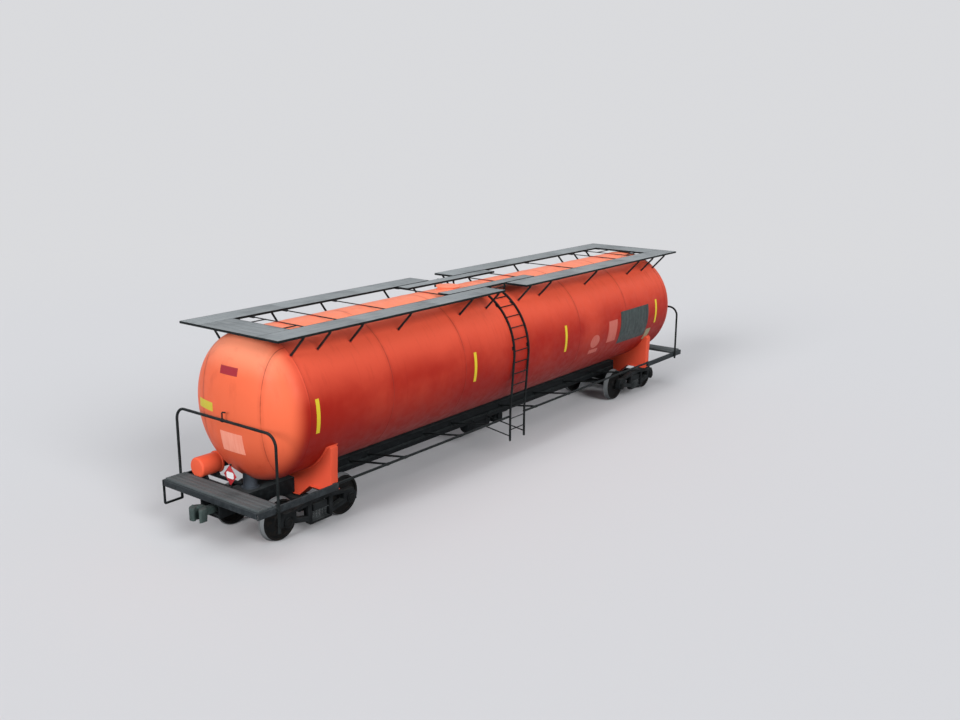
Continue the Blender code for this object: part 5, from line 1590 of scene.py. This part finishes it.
@dataclass
class Wheelset:
    """An axle with its two rolled wheels."""

    end: End
    inner: bool
    back: float = 0.6765
    rim_width: float = 0.145
    cap_y: float = 1.1165
    cap_bolts: float = 0.052
    segments: int = 112

    def build(self) -> None:
        """Spin the wheels and the axle."""
        s = self.end.value
        x = s * (TRUCK_X + (-1 if self.inner else 1) * HALF_SPACING)
        word = f"{self.end.letter}_{'inner' if self.inner else 'outer'}"
        centre = (x, 0.0, AXLE_Z)
        work = Work()
        for sign in (-1, 1):
            section = [(sign * u, r) for u, r in self.section()]
            work.turned(section, Axis.ACROSS, centre, self.segments, closed=True)
        face = self.back + self.rim_width
        axle = [(self.back - 0.020, 0.084), (self.back - 0.020, 0.098), (face + 0.078, 0.098),
                (face + 0.082, 0.094), (face + 0.082, 0.072), (1.0885, 0.072), (1.0885, 0.083),
                (1.091, 0.086), (1.108, 0.086), (1.114, 0.080), (1.1235, 0.050), (1.1235, 0.0)]
        line = [(-u, r) for u, r in reversed(axle)] + [(-0.35, 0.080), (0.0, 0.079), (0.35, 0.080)] + axle
        work.turned(line, Axis.ACROSS, centre, 48)
        for sign in (-1, 1):
            cap = (x, sign * self.cap_y, AXLE_Z)
            work.bolt_circle(Axis.ACROSS, cap, self.cap_bolts, around(3, 0.24), sign, 0.012, 0.012)
        finish = WheelSteel(name=f"wheel_steel_{word}", centre=centre)
        work.keep(f"wheels_{word}_set", finish, f"wheels_{word}", replaces=(f"wheelset_{word}",), sharp=32)

    def section(self) -> list[Flat]:
        """Draw a wheel's section: hub, plate, rim, flange and tread.

        Returns:
            The (distance from the car's middle, radius) points.
        """
        tread = TREAD_RADIUS
        rim, flange = tread - 0.058, tread + 0.0254
        back = [(-0.020, 0.100), (-0.020, 0.134), (-0.012, 0.138), (0.050, 0.140), (0.080, 0.165),
                (0.085, 0.230), (0.066, 0.330), (0.056, rim - 0.016), (0.046, rim - 0.004), (0.034, rim),
                (0.004, rim), (0.0, rim + 0.004), (0.0, flange - 0.016), (0.004, flange - 0.006),
                (0.011, flange - 0.001), (0.017, flange), (0.023, flange - 0.004), (0.029, flange - 0.014),
                (0.034, tread + 0.004), (0.042, tread)]
        width = self.rim_width
        front = [(width - 0.012, tread - 0.005), (width - 0.003, tread - 0.009), (width, tread - 0.014),
                 (width, rim + 0.004), (width - 0.004, rim), (0.106, rim), (0.094, rim - 0.005),
                 (0.086, rim - 0.018), (0.096, 0.330), (0.115, 0.230), (0.122, 0.170), (0.150, 0.142),
                 (width + 0.014, 0.138), (width + 0.020, 0.132), (width + 0.020, 0.100)]
        return [(self.back + u, r) for u, r in back + front]


@dataclass
class Truck:
    """A three-piece truck: two cast side frames with their springs, and the bolster."""

    end: End
    frame_y: float = 1.003
    seat: float = 0.285
    spring_top: float = 0.500
    spring_radius: float = 0.046
    wire: float = 0.010
    count: int = 5
    coils: float = 5.5
    window: float = 0.260
    face_y: float = 1.0775
    cap_face: float = 0.0955
    cap_bolts: float = 0.099
    web_bolts: tuple[Flat, ...] = ((-0.31, 0.34), (-0.31, 0.66), (0.31, 0.34), (0.31, 0.66))

    def build(self) -> None:
        """Build both side frames, the springs and the bolster."""
        e, body = self.end.letter, f"truck_{self.end.letter}"
        for side in Side:
            self.side_frame(side)
            self.springs(side)
        work = Work().node(f"bolster_{e}", 0.010, 3, 40.0)
        work.keep(f"bolster_casting_{e}", CAST, body, replaces=(f"bolster_{e}",), sharp=30)
        for inner in (False, True):
            Wheelset(self.end, inner).build()

    def side_frame(self, side: Side) -> None:
        """Round the side frame's casting, clear its plain springs and add its bearing caps.

        Args:
            side: The side it runs on.
        """
        e, out = self.end.letter, side.value
        x, y = self.end.value * TRUCK_X, out * self.frame_y
        node = f"side_frame_{side.word}_{e}"
        work = Work()
        bm = work.bm
        bm.from_mesh(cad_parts[node].data)
        bmesh.ops.remove_doubles(bm, verts=bm.verts, dist=0.00002)
        work.join_facets()
        low, high = self.seat + 0.0005, self.spring_top + 0.01
        plain = [v for v in bm.verts if abs(v.co.x - x) < self.window - 0.004 and low < v.co.z < high]
        bmesh.ops.delete(bm, geom=plain, context="VERTS")
        bmesh.ops.holes_fill(bm, edges=[edge for edge in bm.edges if edge.is_boundary], sides=0)
        work.join_facets()
        work.round_edges(work.corners(38), 0.008, 3)
        cap = [(out * u, radius) for u, radius in ((0.0850, 0.0735), (0.0850, 0.112), (0.0880, 0.115),
                                                   (0.0960, 0.113), (0.0960, 0.0735))]
        for sign in (-1, 1):
            centre = (x + sign * HALF_SPACING, y, AXLE_Z)
            work.turned(cap, Axis.ACROSS, centre, 48, closed=True)
            face = (centre[0], y + out * self.cap_face, AXLE_Z)
            work.bolt_circle(Axis.ACROSS, face, self.cap_bolts, around(8, 0.5), out, 0.008, 0.006)
        for dx, z in self.web_bolts:
            work.bolt((x + dx, out * self.face_y, z), Vector((0, out, 0)), 0.016, 0.010)
        work.keep(f"side_casting_{side.word}_{e}", CAST, f"truck_{e}", replaces=(node,), sharp=30)

    def springs(self, side: Side) -> None:
        """Wind the spring nest in the window.

        Args:
            side: The side it stands on.
        """
        e = self.end.letter
        x, y = self.end.value * TRUCK_X, side.value * self.frame_y
        pitch = 2 * (self.window - self.spring_radius) / self.count
        radius, steps = self.spring_radius - self.wire, int(self.coils * 14)
        low, high = self.seat + 0.012, self.spring_top - 0.012
        work = Work()
        for i in range(self.count):
            cx = x + pitch * (i - (self.count - 1) / 2)
            path = []
            for k in range(steps + 1):
                angle = math.tau * self.coils * k / steps
                z = low + (high - low) * k / steps
                path.append((cx + radius * math.cos(angle), y + radius * math.sin(angle), z))
            work.pipe(path, self.wire, 8)
        reach = self.window - 0.006
        for z in (self.seat, self.spring_top - 0.006):
            work.block((x - reach, y - 0.058, z), (x + reach, y + 0.058, z + 0.006), 0.002)
        work.keep(f"springs_{side.word}_{e}", BRIGHT, f"truck_{e}", replaces=(f"side_frame_{side.word}_{e}",),
                  sharp=50)


@dataclass
class Coupler:
    """A knuckle coupler on its vertical pin."""

    end: End
    pin_x: float = 9.245
    pin_y: float = 0.125

    def build(self) -> None:
        """Round the casting and add the knuckle's pin."""
        e, s = self.end.letter, self.end.value
        work = Work().node(f"coupler_{e}", 0.012, 3, 25.0)
        pin = [(0.690, 0.0), (0.690, 0.022), (0.700, 0.030), (1.030, 0.030), (1.040, 0.022), (1.040, 0.0)]
        work.turned(pin, Axis.UP, (s * self.pin_x, -s * self.pin_y, 0), 24)
        work.block((s * 9.10, -0.055, 1.010), (s * 9.19, 0.055, 1.040), 0.008)
        work.keep(f"coupler_casting_{e}", COUPLING, f"coupler_{e}", replaces=(f"coupler_{e}",), sharp=30)


@dataclass
class Studio:
    """The pale floor, the plain soft light and the camera of the photograph."""

    background: Point = (0.700, 0.705, 0.725)
    sky: Point = (0.93, 0.95, 1.00)
    sky_strength: float = 0.25
    suns: tuple[tuple[str, Point, float, float], ...] = (
        ("key", (0.93, 0.06, -0.37), 2.20, 24.0), ("side", (0.22, 0.82, -0.46), 2.1, 28.0),
        ("top", (0.30, 0.10, -1.0), 0.85, 60.0))
    floor_radius: float = 160.0
    floor_z: float = -0.002
    floor_dark: Point = (0.12, 0.12, 0.13)
    floor_pale: Point = (0.640, 0.645, 0.665)
    floor_near: float = 14.0
    floor_far: float = 46.0
    place: Point = (-20.9241, -16.1841, 8.8365)
    yaw: float = 0.6563
    pitch: float = -0.2423
    roll: float = 0.0052
    lens: float = 38.0415

    def build(self) -> None:
        """Set up the floor, the world, the lamps and the camera."""
        self.floor()
        self.world()
        self.lamps()
        self.camera()

    def floor(self) -> None:
        """Lay a floor that fades into the background."""
        bm = bmesh.new()
        sunk = Matrix.Translation((0, 0, self.floor_z))
        bmesh.ops.create_circle(bm, cap_ends=True, radius=self.floor_radius, segments=96, matrix=sunk)
        mesh = bpy.data.meshes.new("floor")
        bm.to_mesh(mesh)
        bm.free()
        floor = bpy.data.objects.new("floor", mesh)
        bpy.context.scene.collection.objects.link(floor)
        g = Graph(bpy.data.materials.new("studio_floor"))
        x, y, _ = g.parts(g.place())
        away = g.sum("SQRT", g.sum("ADD", g.sum("MULTIPLY", x, x), g.sum("MULTIPLY", y, y)))
        seen = self.seen(g)
        albedo = g.blend(seen, self.floor_dark, self.floor_pale)
        near = g.node("ShaderNodeBsdfPrincipled")
        g.feed(near.inputs["Base Color"], albedo)
        near.inputs["Roughness"].default_value = 0.85
        near.inputs["Specular IOR Level"].default_value = 0.1
        far = g.node("ShaderNodeEmission")
        g.feed(far.inputs["Color"], self.background)
        mix = g.node("ShaderNodeMixShader")
        g.feed(mix.inputs[0], g.sum("MULTIPLY", seen, g.fade(away, self.floor_near, self.floor_far)))
        g.feed(mix.inputs[1], near.outputs["BSDF"])
        g.feed(mix.inputs[2], far.outputs["Emission"])
        g.feed(g.output.inputs["Surface"], mix.outputs["Shader"])
        mesh.materials.append(g.owner)

    @staticmethod
    def seen(g: Graph) -> Socket:
        """Tell the picture's own rays from those that light it.

        Args:
            g: The graph to build in.

        Returns:
            1 for what the camera, a reflection or a clear surface shows, else 0.
        """
        path = g.node("ShaderNodeLightPath")
        return g.sum("MAXIMUM", path.outputs["Is Camera Ray"],
                     g.sum("MAXIMUM", path.outputs["Is Glossy Ray"], path.outputs["Is Transmission Ray"]))

    def world(self) -> None:
        """Light the scene evenly and show the pale background."""
        world = bpy.data.worlds.new("studio")
        bpy.context.scene.world = world
        g = Graph(world, "ShaderNodeOutputWorld")
        light = g.node("ShaderNodeBackground")
        g.feed(light.inputs["Color"], self.sky)
        light.inputs["Strength"].default_value = self.sky_strength
        shown = g.node("ShaderNodeBackground")
        g.feed(shown.inputs["Color"], self.background)
        mix = g.node("ShaderNodeMixShader")
        for socket, value in zip(mix.inputs, (self.seen(g), light.outputs[0], shown.outputs[0])):
            g.feed(socket, value)
        g.feed(g.output.inputs["Surface"], mix.outputs[0])

    def lamps(self) -> None:
        """Hang broad suns over end a, over the near side and on top."""
        for name, way, power, spread in self.suns:
            data = bpy.data.lights.new(name, "SUN")
            data.energy = power
            data.angle = math.radians(spread)
            lamp = bpy.data.objects.new(name, data)
            lamp.rotation_mode = "QUATERNION"
            lamp.rotation_quaternion = Vector(way).to_track_quat("-Z", "Y")
            bpy.context.scene.collection.objects.link(lamp)

    def camera(self) -> None:
        """Put the camera where the photograph was taken from."""
        data = bpy.data.cameras.new("camera")
        data.lens = self.lens
        data.sensor_width = 36.0
        data.sensor_fit = "HORIZONTAL"
        data.clip_end = 500.0
        camera = bpy.data.objects.new("camera", data)
        level, rise = math.cos(self.pitch), math.sin(self.pitch)
        way = Vector((level * math.cos(self.yaw), level * math.sin(self.yaw), rise))
        camera.rotation_mode = "QUATERNION"
        roll = Matrix.Rotation(self.roll, 3, "Z").to_quaternion()
        camera.rotation_quaternion = way.to_track_quat("-Z", "Y") @ roll
        camera.location = self.place
        bpy.context.scene.collection.objects.link(camera)
        bpy.context.scene.camera = camera
        bpy.context.scene.view_settings.view_transform = "Standard"


def main() -> None:
    """Build every sub-assembly in turn."""
    logging.basicConfig(level=logging.INFO, format="%(message)s")
    Tank().build()
    Manway().build()
    Underframe().build()
    for end in End:
        Cradle(end).build()
        EndPlatform(end).build()
        Truck(end).build()
        Coupler(end).build()
    BrakeGear().build()
    for side in Side:
        Ladder(side).build()
    Walkway().build()
    Studio().build()
    bpy.context.view_layer.update()


if __name__ == "__main__":
    main()
